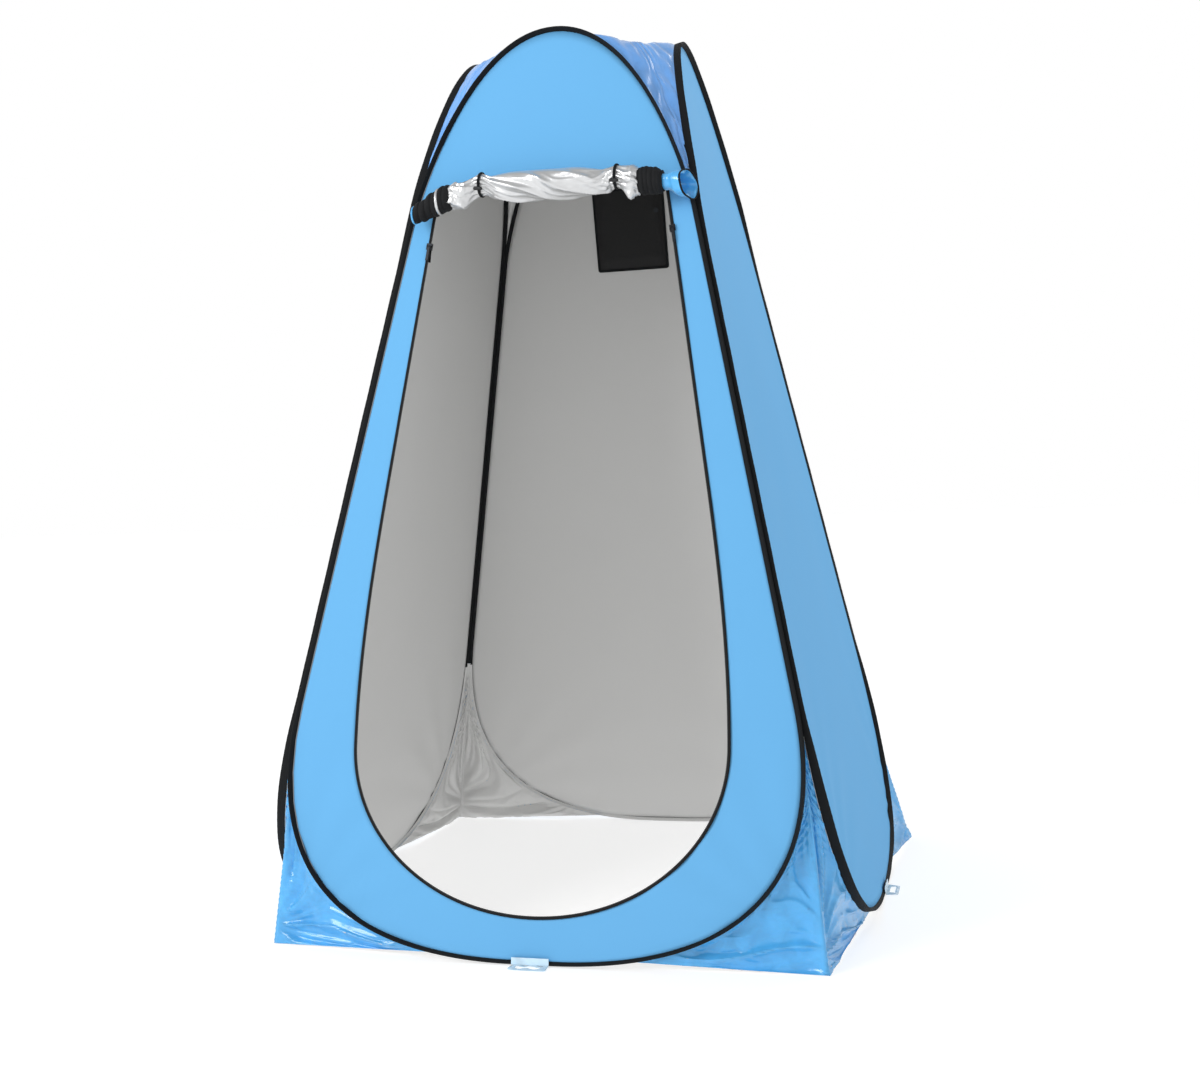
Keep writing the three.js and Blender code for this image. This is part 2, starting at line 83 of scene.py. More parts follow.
# Hoop outline in its own plane, x across and y up the slope, as the CAD draws it
SLEEVE_OUT = 4 * MM
SEAM_CLEAR = SLEEVE_OUT + SLEEVE_HALF / math.tan(math.acos(-SIN * SIN) / 2) + 0.3 * MM
OPEN_SEAM = 5 * MM                                          # extra room beside the loose corner seam
BOTTOM = SLEEVE_HALF * math.tan(LEAN) + SLEEVE_OUT
TOP = (HEIGHT - SLEEVE_HALF * SIN) / COS - SLEEVE_OUT
SEAM_UP = np.array([-SIN, 1.0]) / math.hypot(SIN, 1.0)
SEAM_FOOT, SEAM_HEAD = 0.500, 1.520
SPLIT = 0.455                                               # where the gussets start, up the slope
FEET = {(1, -1): (0.575, -0.602), (1, 1): (0.655, 0.510), (-1, 1): (-0.600, 0.600),
        (-1, -1): (-0.575, -0.570)}                         # ground point of each gusset's middle seam
EXTRA = {"front": (OPEN_SEAM, 0.0), "right": (0.0, 0.0), "back": (0.0, 0.0), "left": (0.0, OPEN_SEAM)}

# Doorway: centre line of its zip, in the front wall's plane
DOOR_SILL, DOOR_SILL_PULL = 0.090, 0.215
DOOR_WIDE, DOOR_WIDE_AT, DOOR_LOW_PULL = 0.386, 0.420, 0.185
DOOR_KNEE, DOOR_KNEE_AT, DOOR_KNEE_PULL = 0.338, 0.960, 0.184
DOOR_SHOULDER, DOOR_SHOULDER_AT = 0.255, 1.540
DOOR_CROWN, DOOR_CROWN_PULL, DOOR_SHOULDER_PULL = 1.590, 0.170, 0.030

# Rolled door in the front wall's plane: axis height and radius along x
ROLL_STAND = 0.040
ROLL_CLOTH = [(-0.204, 1.563, 0.024), (-0.190, 1.568, 0.029), (-0.136, 1.584, 0.022), (-0.060, 1.582, 0.031),
              (0.060, 1.580, 0.031), (0.156, 1.576, 0.022), (0.190, 1.567, 0.030), (0.205, 1.563, 0.026)]
ROLL_LEFT = [(-0.286, 1.529, 0.018), (-0.268, 1.537, 0.021), (-0.240, 1.550, 0.025), (-0.216, 1.560, 0.027),
             (-0.203, 1.563, 0.024)]
ROLL_RIGHT = [(0.203, 1.563, 0.025), (0.213, 1.562, 0.028), (0.240, 1.560, 0.027), (0.254, 1.558, 0.021)]
ROLL_CUFF = [(0.250, 1.557, 0.016), (0.262, 1.556, 0.017), (0.288, 1.550, 0.027), (0.306, 1.547, 0.030)]
TIES = {"left": -0.136, "right": 0.156}


# ---- settings -------------------------------------------------------------------------------------
def hex_colour(text):
    """sRGB hex value to a linear RGB triple."""
    values = [int(text[i:i + 2], 16) / 255 for i in (1, 3, 5)]
    return tuple(v / 12.92 if v <= 0.04045 else ((v + 0.055) / 1.055) ** 2.4 for v in values)


def colour_property(name, text, description):
    return FloatVectorProperty(name=name, description=description, subtype="COLOR", size=3, min=0, max=1,
                               default=hex_colour(text))


def length_property(name, value, description):
    return FloatProperty(name=name, description=description, subtype="DISTANCE", unit="LENGTH", default=value)


class TentColours(PropertyGroup):
    """Colours of the tent's cloths and fittings."""
    wall: colour_property("Wall cloth", "#66AADB", "Outside of the four walls")
    satin: colour_property("Satin cloth", "#4AA6E2", "Gussets, roof and cuff")
    roof: colour_property("Roof cloth", "#68A6EC", "Roof between the hoop tops")
    silver: colour_property("Silver coating", "#D0D1D2", "Coated side of the rolled door")
    inside: colour_property("Coated inside", "#D2D2D1", "Inside of the walls, gussets and roof")
    binding: colour_property("Binding tape", "#0B0E11", "Hoop sleeves and ties")
    zip: colour_property("Zip tape", "#17181A", "Doorway zip and its wound ends")
    pocket: colour_property("Pocket cloth", "#1B1B1C", "Pocket on the back wall")
    tab: colour_property("Peg tab tape", "#BFD9EA", "Peg tabs at the hoop feet")
    steel: colour_property("Spring steel", "#8A8E93", "Hoop wires and ferrules")
    zinc: colour_property("Lacquered zinc", "#2E3033", "Black lacquered zip sliders and pulls")


class TentSizes(PropertyGroup):
    """Sizes that the looks depend on."""
    cloth: length_property("Cloth thickness", 0.6 * MM, "Drawn thickness of wall cloth")
    satin: length_property("Satin thickness", 0.5 * MM, "Drawn thickness of gusset and roof cloth")
    band_free: length_property("Free band half width", 10.5 * MM, "Half width of a sleeve away from a seam")
    band_seam: length_property("Seam band half width", 4.9 * MM, "Half width of a sleeve along a seam")
    crease: length_property("Gusset crease depth", 11.0 * MM, "Depth of a gusset's first folds")
    coil_pitch: length_property("Coil pitch", 3.2 * MM, "Distance between zip coil turns")
    settle_frames: IntProperty(name="Settling steps", description="Cloth steps for each soft piece",
                               default=24, min=4, max=60)


# ---- shapes in a wall's plane ---------------------------------------------------------------------
def bezier(p0, p1, p2, p3, count):
    """Points of a cubic Bezier curve: the sum of its four corners times their Bernstein weights."""
    t = np.linspace(0.0, 1.0, count)[:, None]
    return ((1 - t) ** 3 * np.array(p0) + 3 * (1 - t) ** 2 * t * np.array(p1)
            + 3 * (1 - t) * t * t * np.array(p2) + t ** 3 * np.array(p3))


def seam_x(y, clear=0.0):
    """Distance across to the corner seam at height y up the slope, less a clearance square to the seam."""
    return HALF - y * SIN - clear / SEAM_UP[1]


def half_hoop(extra):
    """Right half of a hoop's wire line: flat foot, lower curve, straight seam and top curve."""
    clear = SEAM_CLEAR + extra
    foot = np.array([seam_x(SEAM_FOOT, clear), SEAM_FOOT])
    head = np.array([seam_x(SEAM_HEAD, clear), SEAM_HEAD])
    low = bezier((0.040, BOTTOM), (0.412, BOTTOM), foot - SEAM_UP * 0.330, foot, 120)
    high = bezier(head, head + SEAM_UP * 0.060, (0.192, TOP), (0.0, TOP), 100)
    return np.vstack([[[0.0, BOTTOM]], low, np.linspace(foot, head, 60)[1:-1], high])


def even(line, count, closed=False):
    """The line again, with its points at even distances along it."""
    points = np.vstack([line, line[:1]]) if closed else line
    steps = np.concatenate([[0.0], np.cumsum(np.linalg.norm(np.diff(points, axis=0), axis=1))])
    wanted = np.linspace(0.0, steps[-1], count + 1 if closed else count)
    if closed:
        wanted = wanted[:-1]
    return np.stack([np.interp(wanted, steps, points[:, k]) for k in range(points.shape[1])], axis=1)


def hoop_line(side, count):
    """A hoop's wire line, anticlockwise from the bottom centre. At the loose seam the cloth closes most of
    the CAD's extra room."""
    left, right = (0.1 * extra for extra in EXTRA[side])
    right_half, left_half = half_hoop(right), half_hoop(left) * [-1, 1]
    return even(np.vstack([right_half, left_half[::-1][1:-1]]), count, closed=True)


def outward(line):
    """Unit normals of a closed anticlockwise line, pointing out of it."""
    along = np.roll(line, -1, axis=0) - np.roll(line, 1, axis=0)
    along /= np.linalg.norm(along, axis=1)[:, None]
    return np.stack([along[:, 1], -along[:, 0]], axis=1)


def door_line(count, closed=True):
    """The doorway's outline; open, it is the zip's line from shoulder to shoulder round the sill."""
    rise = (DOOR_SHOULDER - DOOR_KNEE) / (DOOR_SHOULDER_AT - DOOR_KNEE_AT)
    low = bezier((0, DOOR_SILL), (DOOR_SILL_PULL, DOOR_SILL), (DOOR_WIDE, DOOR_WIDE_AT - DOOR_LOW_PULL),
                 (DOOR_WIDE, DOOR_WIDE_AT), 80)
    side = bezier((DOOR_WIDE, DOOR_WIDE_AT), (DOOR_WIDE, DOOR_WIDE_AT + DOOR_KNEE_PULL),
                  (DOOR_KNEE - rise * DOOR_KNEE_PULL, DOOR_KNEE_AT - DOOR_KNEE_PULL),
                  (DOOR_KNEE, DOOR_KNEE_AT), 60)
    shoulder = np.linspace((DOOR_KNEE, DOOR_KNEE_AT), (DOOR_SHOULDER, DOOR_SHOULDER_AT), 40)
    top = bezier((DOOR_SHOULDER, DOOR_SHOULDER_AT),
                 (DOOR_SHOULDER + rise * DOOR_SHOULDER_PULL, DOOR_SHOULDER_AT + DOOR_SHOULDER_PULL),
                 (DOOR_CROWN_PULL, DOOR_CROWN), (0, DOOR_CROWN), 50)
    if closed:
        half = np.vstack([low, side[1:], shoulder[1:], top[1:]])
        return even(np.vstack([half, (half * [-1, 1])[::-1][1:-1]]), count, closed=True)
    half = np.vstack([low, side[1:], shoulder[1:], [DOOR_SHOULDER + rise * 0.014, DOOR_SHOULDER_AT + 0.014]])
    return even(np.vstack([(half * [-1, 1])[::-1][:-1], half]), count)


def in_wall(side, across, up, out=0.0):
    """Wall-plane coordinates (across, up the slope, out of the tent) to the tent's own."""
    across, up, out = np.broadcast_arrays(*(np.asarray(value, float) for value in (across, up, out)))
    x, y, z = across, -HALF + up * SIN - out * COS, up * COS + out * SIN
    turn = SIDES.index(side) * math.pi / 2
    c, s = round(math.cos(turn)), round(math.sin(turn))
    return np.stack([c * x - s * y, s * x + c * y, z], axis=-1)


def wall_normal(side):
    """The wall plane's outward unit normal."""
    return in_wall(side, 0, 0, 1) - in_wall(side, 0, 0, 0)


# ---- meshes ---------------------------------------------------------------------------------------
def grid_faces(rows, columns, close_rows=False, close_columns=False):
    """Quads of a grid of rows x columns points, each direction open or closed on itself."""
    i = np.arange(rows if close_rows else rows - 1)[:, None]
    j = np.arange(columns if close_columns else columns - 1)[None, :]
    ahead, beside = (i + 1) % rows, (j + 1) % columns
    corners = [i * columns + j, i * columns + beside, ahead * columns + beside, ahead * columns + j]
    return np.stack(np.broadcast_arrays(*corners), axis=-1).reshape(-1, 4)


def mesh_object(name, points, faces, materials, uv=None, face_material=None):
    """One smooth object from points, arrays of quads and triangles, and a UV pair for each point."""
    data = bpy.data.meshes.new(name)
    groups = faces if isinstance(faces, list) else [faces]
    data.from_pydata(np.asarray(points).reshape(-1, 3).tolist(), [], sum((g.tolist() for g in groups), []))
    for material in materials:
        data.materials.append(material)
    data.polygons.foreach_set("use_smooth", np.ones(len(data.polygons), bool))
    if face_material is not None:
        data.polygons.foreach_set("material_index", np.asarray(face_material, np.int32))
    if uv is not None:
        loops = np.zeros(len(data.loops), np.int32)
        data.loops.foreach_get("vertex_index", loops)
        layer = data.uv_layers.new(name="UVMap")
        layer.data.foreach_set("uv", np.asarray(uv, np.float32).reshape(-1, 2)[loops].ravel())
    data.update()
    made = bpy.data.objects.new(name, data)
    bpy.context.scene.collection.objects.link(made)
    return made


def thicken(piece, thickness, inside=None):
    """Gives a cloth its thickness, half to each side; the far skin may show another material."""
    skin = piece.modifiers.new("Cloth thickness", "SOLIDIFY")
    skin.thickness = thickness
    skin.offset = 0.0
    if inside is not None:
        skin.material_offset = 1
    return skin


def tube(centres, across, beside, profile, close=False):
    """A profile (a, b) carried along a path: each ring is centre + a * across + b * beside."""
    profile = np.asarray(profile)
    if profile.ndim == 2:
        profile = np.broadcast_to(profile, (len(centres),) + profile.shape)
    points = centres[:, None] + profile[:, :, :1] * across[:, None] + profile[:, :, 1:] * beside[:, None]
    faces = grid_faces(len(centres), profile.shape[1], close_rows=close, close_columns=True)
    return points, faces


def capped(points, faces):
    """Closes an open tube with a fan of triangles at each end."""
    rows, columns = points.shape[:2]
    flat = np.vstack([points.reshape(-1, 3), points[0].mean(axis=0), points[-1].mean(axis=0)])
    first, last = rows * columns, rows * columns + 1
    ring = np.arange(columns)
    ahead = (ring + 1) % columns
    start = np.stack([np.full(columns, first), ahead, ring], axis=1)
    final = (rows - 1) * columns
    end = np.stack([np.full(columns, last), final + ring, final + ahead], axis=1)
    return flat, [faces, start, end]


def path_frames(path, up):
    """The two unit directions square to a path at each point, the second as near as it can be to up."""
    along = np.gradient(path, axis=0)
    along /= np.linalg.norm(along, axis=1)[:, None]
    side = np.cross(along, np.broadcast_to(up, along.shape))
    side /= np.linalg.norm(side, axis=1)[:, None]
    return side, np.cross(side, along)


def ripples(points, seed, wavelengths, depth):
    """Smooth random relief: for each wavelength, a few plane waves in fixed random directions, summed."""
    source = np.random.default_rng(seed)
    relief = np.zeros(points.shape[:-1])
    for wavelength in wavelengths:
        for _ in range(5):
            direction = source.normal(size=points.shape[-1])
            direction *= 2 * math.pi / (wavelength * np.linalg.norm(direction))
            wave = np.sin(points @ direction + source.uniform(0, 2 * math.pi))
            relief += wave * wavelength / wavelengths[0]
    return depth * relief / (2.2 * len(wavelengths))


def smooth(x):
    """0 to 1 with level ends: 3 x squared less 2 x cubed, with x held between 0 and 1."""
    x = np.clip(x, 0.0, 1.0)
    return x * x * (3 - 2 * x)


def settle(piece, pinned, frames, grow=0.0, gravity=1.0, pressure=0.0, stiffness=15.0, bending=0.1, cap=0.03):
    """Runs Blender's cloth on the piece with some points held, and keeps the shape that it comes to.

    grow is how much larger the cloth is than the span that it fills, so that it buckles into folds.
    """
    count = len(piece.data.vertices)
    start = np.zeros(count * 3)
    piece.data.vertices.foreach_get("co", start)
    group = piece.vertex_groups.new(name="held")
    for weight in np.unique(pinned[pinned > 0]):
        group.add(np.nonzero(pinned == weight)[0].tolist(), float(weight), "REPLACE")
    cloth = piece.modifiers.new("Cloth", "CLOTH")
    cloth.settings.vertex_group_mass = "held"
    cloth.settings.quality = 6
    cloth.settings.mass = 0.1
    cloth.settings.tension_stiffness = stiffness
    cloth.settings.compression_stiffness = stiffness
    cloth.settings.shear_stiffness = stiffness / 3
    cloth.settings.bending_stiffness = bending
    cloth.settings.shrink_min = -grow
    cloth.settings.effector_weights.gravity = gravity
    cloth.settings.use_pressure = pressure > 0
    cloth.settings.uniform_pressure_force = pressure
    cloth.collision_settings.use_collision = False
    cloth.point_cache.frame_start, cloth.point_cache.frame_end = 1, frames
    scene = bpy.context.scene
    for number in range(1, frames + 1):
        scene.frame_set(number)
        bpy.context.view_layer.update()
    shaped = piece.evaluated_get(bpy.context.evaluated_depsgraph_get())
    end = np.zeros(count * 3)
    shaped.data.vertices.foreach_get("co", end)
    piece.modifiers.remove(cloth)
    piece.vertex_groups.clear()
    scene.frame_set(1)
    move = (end - start).reshape(-1, 3)
    length = np.linalg.norm(move, axis=1)[:, None]
    move *= np.minimum(1.0, cap / np.maximum(length, 1e-9))
    move[pinned >= 1.0] = 0.0
    piece.data.vertices.foreach_set("co", (start.reshape(-1, 3) + move).ravel())
    piece.data.update()


# ---- materials ------------------------------------------------------------------------------------
def set_sockets(tree, node, **inputs):
    """Sets a node's input sockets, or links those given as (node, output); _6 is the socket numbered 6."""
    for key, value in inputs.items():
        socket = node.inputs[int(key[1:])] if key[1:].isdigit() else node.inputs[key.replace("_", " ")]
        if isinstance(value, tuple) and isinstance(value[0], bpy.types.Node):
            tree.links.new(value[0].outputs[value[1]], socket)
        else:
            socket.default_value = value


def add_node(tree, kind, settings=None, **inputs):
    """Adds a node with its attributes and sockets."""
    made = tree.nodes.new(kind)
    for key, value in (settings or {}).items():
        setattr(made, key, value)
    set_sockets(tree, made, **inputs)
    return made


def new_material(name):
    """An empty node material and its tree, shader and output joined."""
    made = bpy.data.materials.new(name)
    made.use_nodes = True
    tree = made.node_tree
    tree.nodes.clear()
    shader = add_node(tree, "ShaderNodeBsdfPrincipled")
    output = add_node(tree, "ShaderNodeOutputMaterial")
    tree.links.new(shader.outputs["BSDF"], output.inputs["Surface"])
    return made, tree, shader


def rgba(colour, lift=1.0):
    return tuple(min(1.0, c * lift) for c in colour) + (1.0,)


def woven(tree, vector, thread):
    """Height of a plain weave: two crossed sine bands a thread apart, multiplied."""
    bands = []
    for axis in ("X", "Y"):
        bands.append(add_node(tree, "ShaderNodeTexWave", {"wave_type": "BANDS", "bands_direction": axis,
                                                          "wave_profile": "SIN"},
                              Vector=vector, Scale=0.5 / (thread * MM), Distortion=0.6, Detail=1.0))
    return add_node(tree, "ShaderNodeMath", {"operation": "MULTIPLY"}, _0=(bands[0], "Fac"),
                    _1=(bands[1], "Fac"))


def wall_polyester(name, colour, roughness, sheen, wrinkle):
    """Plain woven, coated polyester: a matt, even skin with a very fine grid and faint soft puckers."""
    made, tree, shader = new_material(name)
    uv = add_node(tree, "ShaderNodeUVMap")
    weave = woven(tree, (uv, "UV"), 1.6)       # real threads are 0.2 mm apart, drawn coarser to show
    cloudy = add_node(tree, "ShaderNodeTexNoise", Vector=(uv, "UV"), Scale=5.0, Detail=3.0, Roughness=0.5)
    tone = add_node(tree, "ShaderNodeMix", {"data_type": "RGBA"}, Factor=(cloudy, "Fac"),
                    _6=rgba(colour, 0.985), _7=rgba(colour, 1.015))
    pucker = add_node(tree, "ShaderNodeTexNoise", Vector=(uv, "UV"), Scale=9.0, Detail=2.0, Distortion=1.2)
    fine = add_node(tree, "ShaderNodeBump", Height=(weave, "Value"), Strength=0.12, Distance=0.15 * MM)
    bump = add_node(tree, "ShaderNodeBump", Height=(pucker, "Fac"), Strength=wrinkle, Distance=4 * MM,
                    Normal=(fine, "Normal"))
    rough = add_node(tree, "ShaderNodeMapRange", Value=(cloudy, "Fac"), To_Min=roughness - 0.05,
                     To_Max=roughness + 0.05)
    set_sockets(tree, shader, Base_Color=(tone, "Result"), Roughness=(rough, "Result"),
                Normal=(bump, "Normal"), Sheen_Weight=sheen, Specular_IOR_Level=0.12)
    return made


def satin_polyester(name, colour):
    """Unlined satin-faced polyester: glossy along its creases, with a fine warp and small crisp crinkles."""
    made, tree, shader = new_material(name)
    place = add_node(tree, "ShaderNodeTexCoord")
    crinkle = add_node(tree, "ShaderNodeTexVoronoi", {"feature": "F1", "distance": "EUCLIDEAN"},
                       Vector=(place, "Object"), Scale=34.0)
    cloudy = add_node(tree, "ShaderNodeTexNoise", Vector=(place, "Object"), Scale=22.0, Detail=5.0,
                      Roughness=0.55, Distortion=0.8)
    tone = add_node(tree, "ShaderNodeValToRGB", Fac=(cloudy, "Fac"))
    tone.color_ramp.elements[0].position, tone.color_ramp.elements[1].position = 0.32, 0.68
    tone.color_ramp.elements[0].color = rgba(colour, 0.9)
    tone.color_ramp.elements[1].color = rgba(colour, 1.1)
    small = add_node(tree, "ShaderNodeBump", Height=(cloudy, "Fac"), Strength=0.3, Distance=3 * MM)
    bump = add_node(tree, "ShaderNodeBump", Height=(crinkle, "Distance"), Strength=0.22, Distance=4 * MM,
                    Normal=(small, "Normal"))
    set_sockets(tree, shader, Base_Color=(tone, "Color"), Normal=(bump, "Normal"), Roughness=0.2,
                Anisotropic=0.4, Sheen_Weight=0.15, Specular_IOR_Level=0.7)
    return made


def silver_coated(name, colour, roughness, metallic, crinkle_scale):
    """Aluminium-pigmented polyurethane coat: half metallic, soft highlights broken by fine crumples."""
    made, tree, shader = new_material(name)
    place = add_node(tree, "ShaderNodeTexCoord")
    cloudy = add_node(tree, "ShaderNodeTexNoise", Vector=(place, "Object"), Scale=crinkle_scale, Detail=6.0,
                      Roughness=0.6, Distortion=0.6)
    tone = add_node(tree, "ShaderNodeMix", {"data_type": "RGBA"}, Factor=(cloudy, "Fac"),
                    _6=rgba(colour, 0.93), _7=rgba(colour, 1.05))
    bump = add_node(tree, "ShaderNodeBump", Height=(cloudy, "Fac"), Strength=0.25, Distance=3 * MM)
    set_sockets(tree, shader, Base_Color=(tone, "Result"), Normal=(bump, "Normal"), Roughness=roughness,
                Metallic=metallic)
    return made


def ribbed_tape(name, colour, rib, roughness):
    """Woven nylon tape: ribs across its length, matt, with slightly paler ridges: a painted highlight on the
    rib crests, broken by fine fuzz.
    """
    made, tree, shader = new_material(name)
    uv = add_node(tree, "ShaderNodeUVMap")
    ribs = add_node(tree, "ShaderNodeTexWave", {"wave_type": "BANDS", "bands_direction": "X",
                                                "wave_profile": "SIN"},
                    Vector=(uv, "UV"), Scale=1.0 / (2 * rib * MM), Distortion=0.4, Detail=2.0)
    fuzz = add_node(tree, "ShaderNodeTexNoise", Vector=(uv, "UV"), Scale=900.0, Detail=3.0)
    # painted highlight: the rib crests, times the fine fuzz, lift the tape's colour up to 1.5 times
    painted_crest_highlight = add_node(tree, "ShaderNodeMath", {"operation": "MULTIPLY"}, _0=(ribs, "Fac"), _1=(fuzz, "Fac"))
    tone = add_node(tree, "ShaderNodeMix", {"data_type": "RGBA"}, Factor=(painted_crest_highlight, "Value"),
                    _6=rgba(colour, 0.75), _7=rgba(colour, 1.5))
    bump = add_node(tree, "ShaderNodeBump", Height=(ribs, "Fac"), Strength=0.5, Distance=0.4 * MM)
    set_sockets(tree, shader, Base_Color=(tone, "Result"), Normal=(bump, "Normal"), Roughness=roughness,
                Specular_IOR_Level=0.25)
    return made


def knitted_mesh(name, colour):
    """Close knitted polyester mesh: small round holes in staggered rows, matt."""
    made, tree, shader = new_material(name)
    uv = add_node(tree, "ShaderNodeUVMap")
    holes = add_node(tree, "ShaderNodeTexVoronoi", {"feature": "F1"}, Vector=(uv, "UV"), Scale=330.0,
                     Randomness=0.15)
    tone = add_node(tree, "ShaderNodeValToRGB", Fac=(holes, "Distance"))
    tone.color_ramp.elements[0].position, tone.color_ramp.elements[1].position = 0.2, 0.42
    tone.color_ramp.elements[0].color = rgba(colour, 0.35)
    tone.color_ramp.elements[1].color = rgba(colour, 1.25)
    bump = add_node(tree, "ShaderNodeBump", Height=(holes, "Distance"), Strength=0.5, Distance=0.5 * MM)
    set_sockets(tree, shader, Base_Color=(tone, "Color"), Normal=(bump, "Normal"), Roughness=0.85)
    return made


def metal(name, colour, roughness, grain):
    """Drawn or plated metal: even gloss with fine scratches that vary the roughness."""
    made, tree, shader = new_material(name)
    place = add_node(tree, "ShaderNodeTexCoord")
    scratch = add_node(tree, "ShaderNodeTexNoise", Vector=(place, "Object"), Scale=1.0 / (grain * MM),
                       Detail=4.0)
    rough = add_node(tree, "ShaderNodeMapRange", Value=(scratch, "Fac"), To_Min=roughness - 0.08,
                     To_Max=roughness + 0.12)
    set_sockets(tree, shader, Roughness=(rough, "Result"), Base_Color=rgba(colour), Metallic=1.0)
    return made


def moulded_nylon(name, colour):
    """Injection-moulded nylon: black, satin, with a fine spark-eroded grain."""
    made, tree, shader = new_material(name)
    place = add_node(tree, "ShaderNodeTexCoord")
    grain = add_node(tree, "ShaderNodeTexNoise", Vector=(place, "Object"), Scale=2500.0, Detail=2.0)
    bump = add_node(tree, "ShaderNodeBump", Height=(grain, "Fac"), Strength=0.2, Distance=0.05 * MM)
    set_sockets(tree, shader, Normal=(bump, "Normal"), Base_Color=rgba(colour), Roughness=0.45)
    return made


LOOKS = {}


def make_materials():
    """Makes each finish once, from the colours in the panel."""
    c = bpy.context.scene.tent_colours
    LOOKS.update(
        wall=wall_polyester("wall_polyester", c.wall, 0.75, 0.0, 0.05),
        wall_inside=wall_polyester("silver_coat_inside", c.inside, 0.6, 0.0, 0.10),
        satin=satin_polyester("satin_polyester", c.satin),
        roof=satin_polyester("roof_polyester", c.roof),
        satin_inside=silver_coated("silver_coat_satin", c.inside, 0.5, 0.1, 30.0),
        silver=silver_coated("silver_coat_crumpled", c.silver, 0.28, 0.65, 45.0),
        binding=ribbed_tape("binding_tape", c.binding, 1.4, 0.75),
        zip_tape=ribbed_tape("zip_tape", c.zip, 1.2, 0.8),
        coil=moulded_nylon("nylon_coil", c.zip),
        pocket=knitted_mesh("knitted_mesh", c.pocket),
        tab=satin_polyester("peg_tab_ribbon", c.tab),
        steel=metal("spring_steel", c.steel, 0.35, 0.5),
        zinc=metal("lacquered_zinc", c.zinc, 0.38, 0.3),
        toggle=moulded_nylon("toggle_nylon", c.binding),
    )


class TENT_OT_materials(Operator):
    """Make the tent's materials"""
    bl_idname = "tent.materials"
    bl_label = "Make materials"

    def execute(self, context):
        make_materials()
        for name, node in frame["nodes"].items():
            look = ("steel" if "hoop_wire" in name or "ferrule" in name else
                    "zinc" if name.startswith("zip_") or name == "pocket_snap" else
                    "toggle" if "toggle" in name else None)
            if look:
                node.data.materials.clear()
                node.data.materials.append(LOOKS[look])
        return {"FINISHED"}


# ---- walls ----------------------------------------------------------------------------------------
def wall_relief(side, plane):
    """Out-of-plane shape of a wall: a slight slack belly, long soft drag folds from the lower corners, and
    ripples that die away at the hoop."""
    x, y = plane[..., 0], plane[..., 1]
    inner = smooth(1.0 - (np.abs(x) / np.maximum(seam_x(y), 0.05)) ** 4)
    belly = -2.0 * MM * inner * smooth(y / 0.3) * smooth((TOP - y) / 0.3)
    relief = ripples(plane, SIDES.index(side) + 3, (0.45, 0.21), 1.2 * MM)
    for corner, strength in ((-1, 1.0), (1, 0.7)):
        away = np.hypot(x - corner * 0.52, y - 0.06)
        angle = np.arctan2(y - 0.06, -corner * (x - corner * 0.52))
        near = smooth(away / 0.1) * smooth(1 - away / 0.75)
        relief += strength * 2.4 * MM * np.sin(angle * 17 + away * 5) * near
    return belly + relief * inner


def make_wall(side):
    """A wall's cloth: rings of points from the middle, or from the doorway, out to the hoop's sleeve."""
    outline = hoop_line(side, 240)
    outline = outline - outward(outline) * 3.4 * MM
    if side == "front":
        door = door_line(1200)
        door = door + outward(door) * 2.2 * MM
        centre = np.array([0.0, 0.78])
        angle = lambda line: np.arctan2(line[:, 1] - centre[1], line[:, 0] - centre[0])
        order = np.argsort(angle(door))
        turn = np.unwrap(angle(outline))
        inner = np.stack([np.interp(turn, angle(door)[order], door[order, k], period=2 * math.pi)
                          for k in (0, 1)], axis=1)
        share = np.linspace(0, 1, 16)[:, None, None]
        plane = inner[None] * (1 - share) + outline[None] * share
        faces = grid_faces(len(plane), len(outline), close_columns=True)
    else:
        centre = np.array([0.0, 0.72])
        share = np.linspace(0, 1, 44)[1:, None, None] ** 0.85
        plane = centre + (outline[None] - centre) * share
        faces = grid_faces(len(plane), len(outline), close_columns=True)
        hub = plane.shape[0] * plane.shape[1]
        ring = np.arange(len(outline))
        fan = np.stack([np.full(len(ring), hub), (ring + 1) % len(ring), ring], axis=1)
        faces = [faces, fan]
        plane = np.vstack([plane.reshape(-1, 2), centre])
    plane = plane.reshape(-1, 2)
    points = in_wall(side, plane[:, 0], plane[:, 1], wall_relief(side, plane))
    piece = mesh_object(f"{side}_wall_cloth", points, faces, [LOOKS["wall"], LOOKS["wall_inside"]], plane)
    turn_out(piece, wall_normal(side))
    thicken(piece, bpy.context.scene.tent_sizes.cloth, inside=True)
    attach(piece, f"{side}_panel")
    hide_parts(f"{side}_wall")
    if side == "front":     # a ring of cloth: its mean length, and the width that gives its area
        length = (path_length(outline) + path_length(door)) / 2
        width = (polygon_area(outline) - polygon_area(door)) / length
    else:
        width, length = np.ptp(outline, axis=0)
    return piece


def polygon_area(line):
    """Area inside a closed line, by the shoelace sum."""
    x, y = line[:, 0], line[:, 1]
    return float(0.5 * abs(np.dot(x, np.roll(y, -1)) - np.dot(y, np.roll(x, -1))))


def turn_out(piece, direction):
    """Flips an open sheet's faces if they look away from a direction."""
    normals = np.zeros(len(piece.data.polygons) * 3)
    piece.data.polygons.foreach_get("normal", normals)
    if normals.reshape(-1, 3).sum(axis=0) @ np.asarray(direction) < 0:
        piece.data.flip_normals()


# ---- hoop bands -----------------------------------------------------------------------------------
def seam_share(line):
    """1 where a hoop is sewn to its neighbour, falling to 0 where it runs free."""
    y = line[:, 1]
    along = smooth((y - SPLIT + 0.10) / 0.16) * smooth((SEAM_HEAD + 0.10 - y) / 0.16)
    return along * smooth((np.abs(line[:, 0]) - seam_x(y, SEAM_CLEAR) + 0.05) / 0.03)


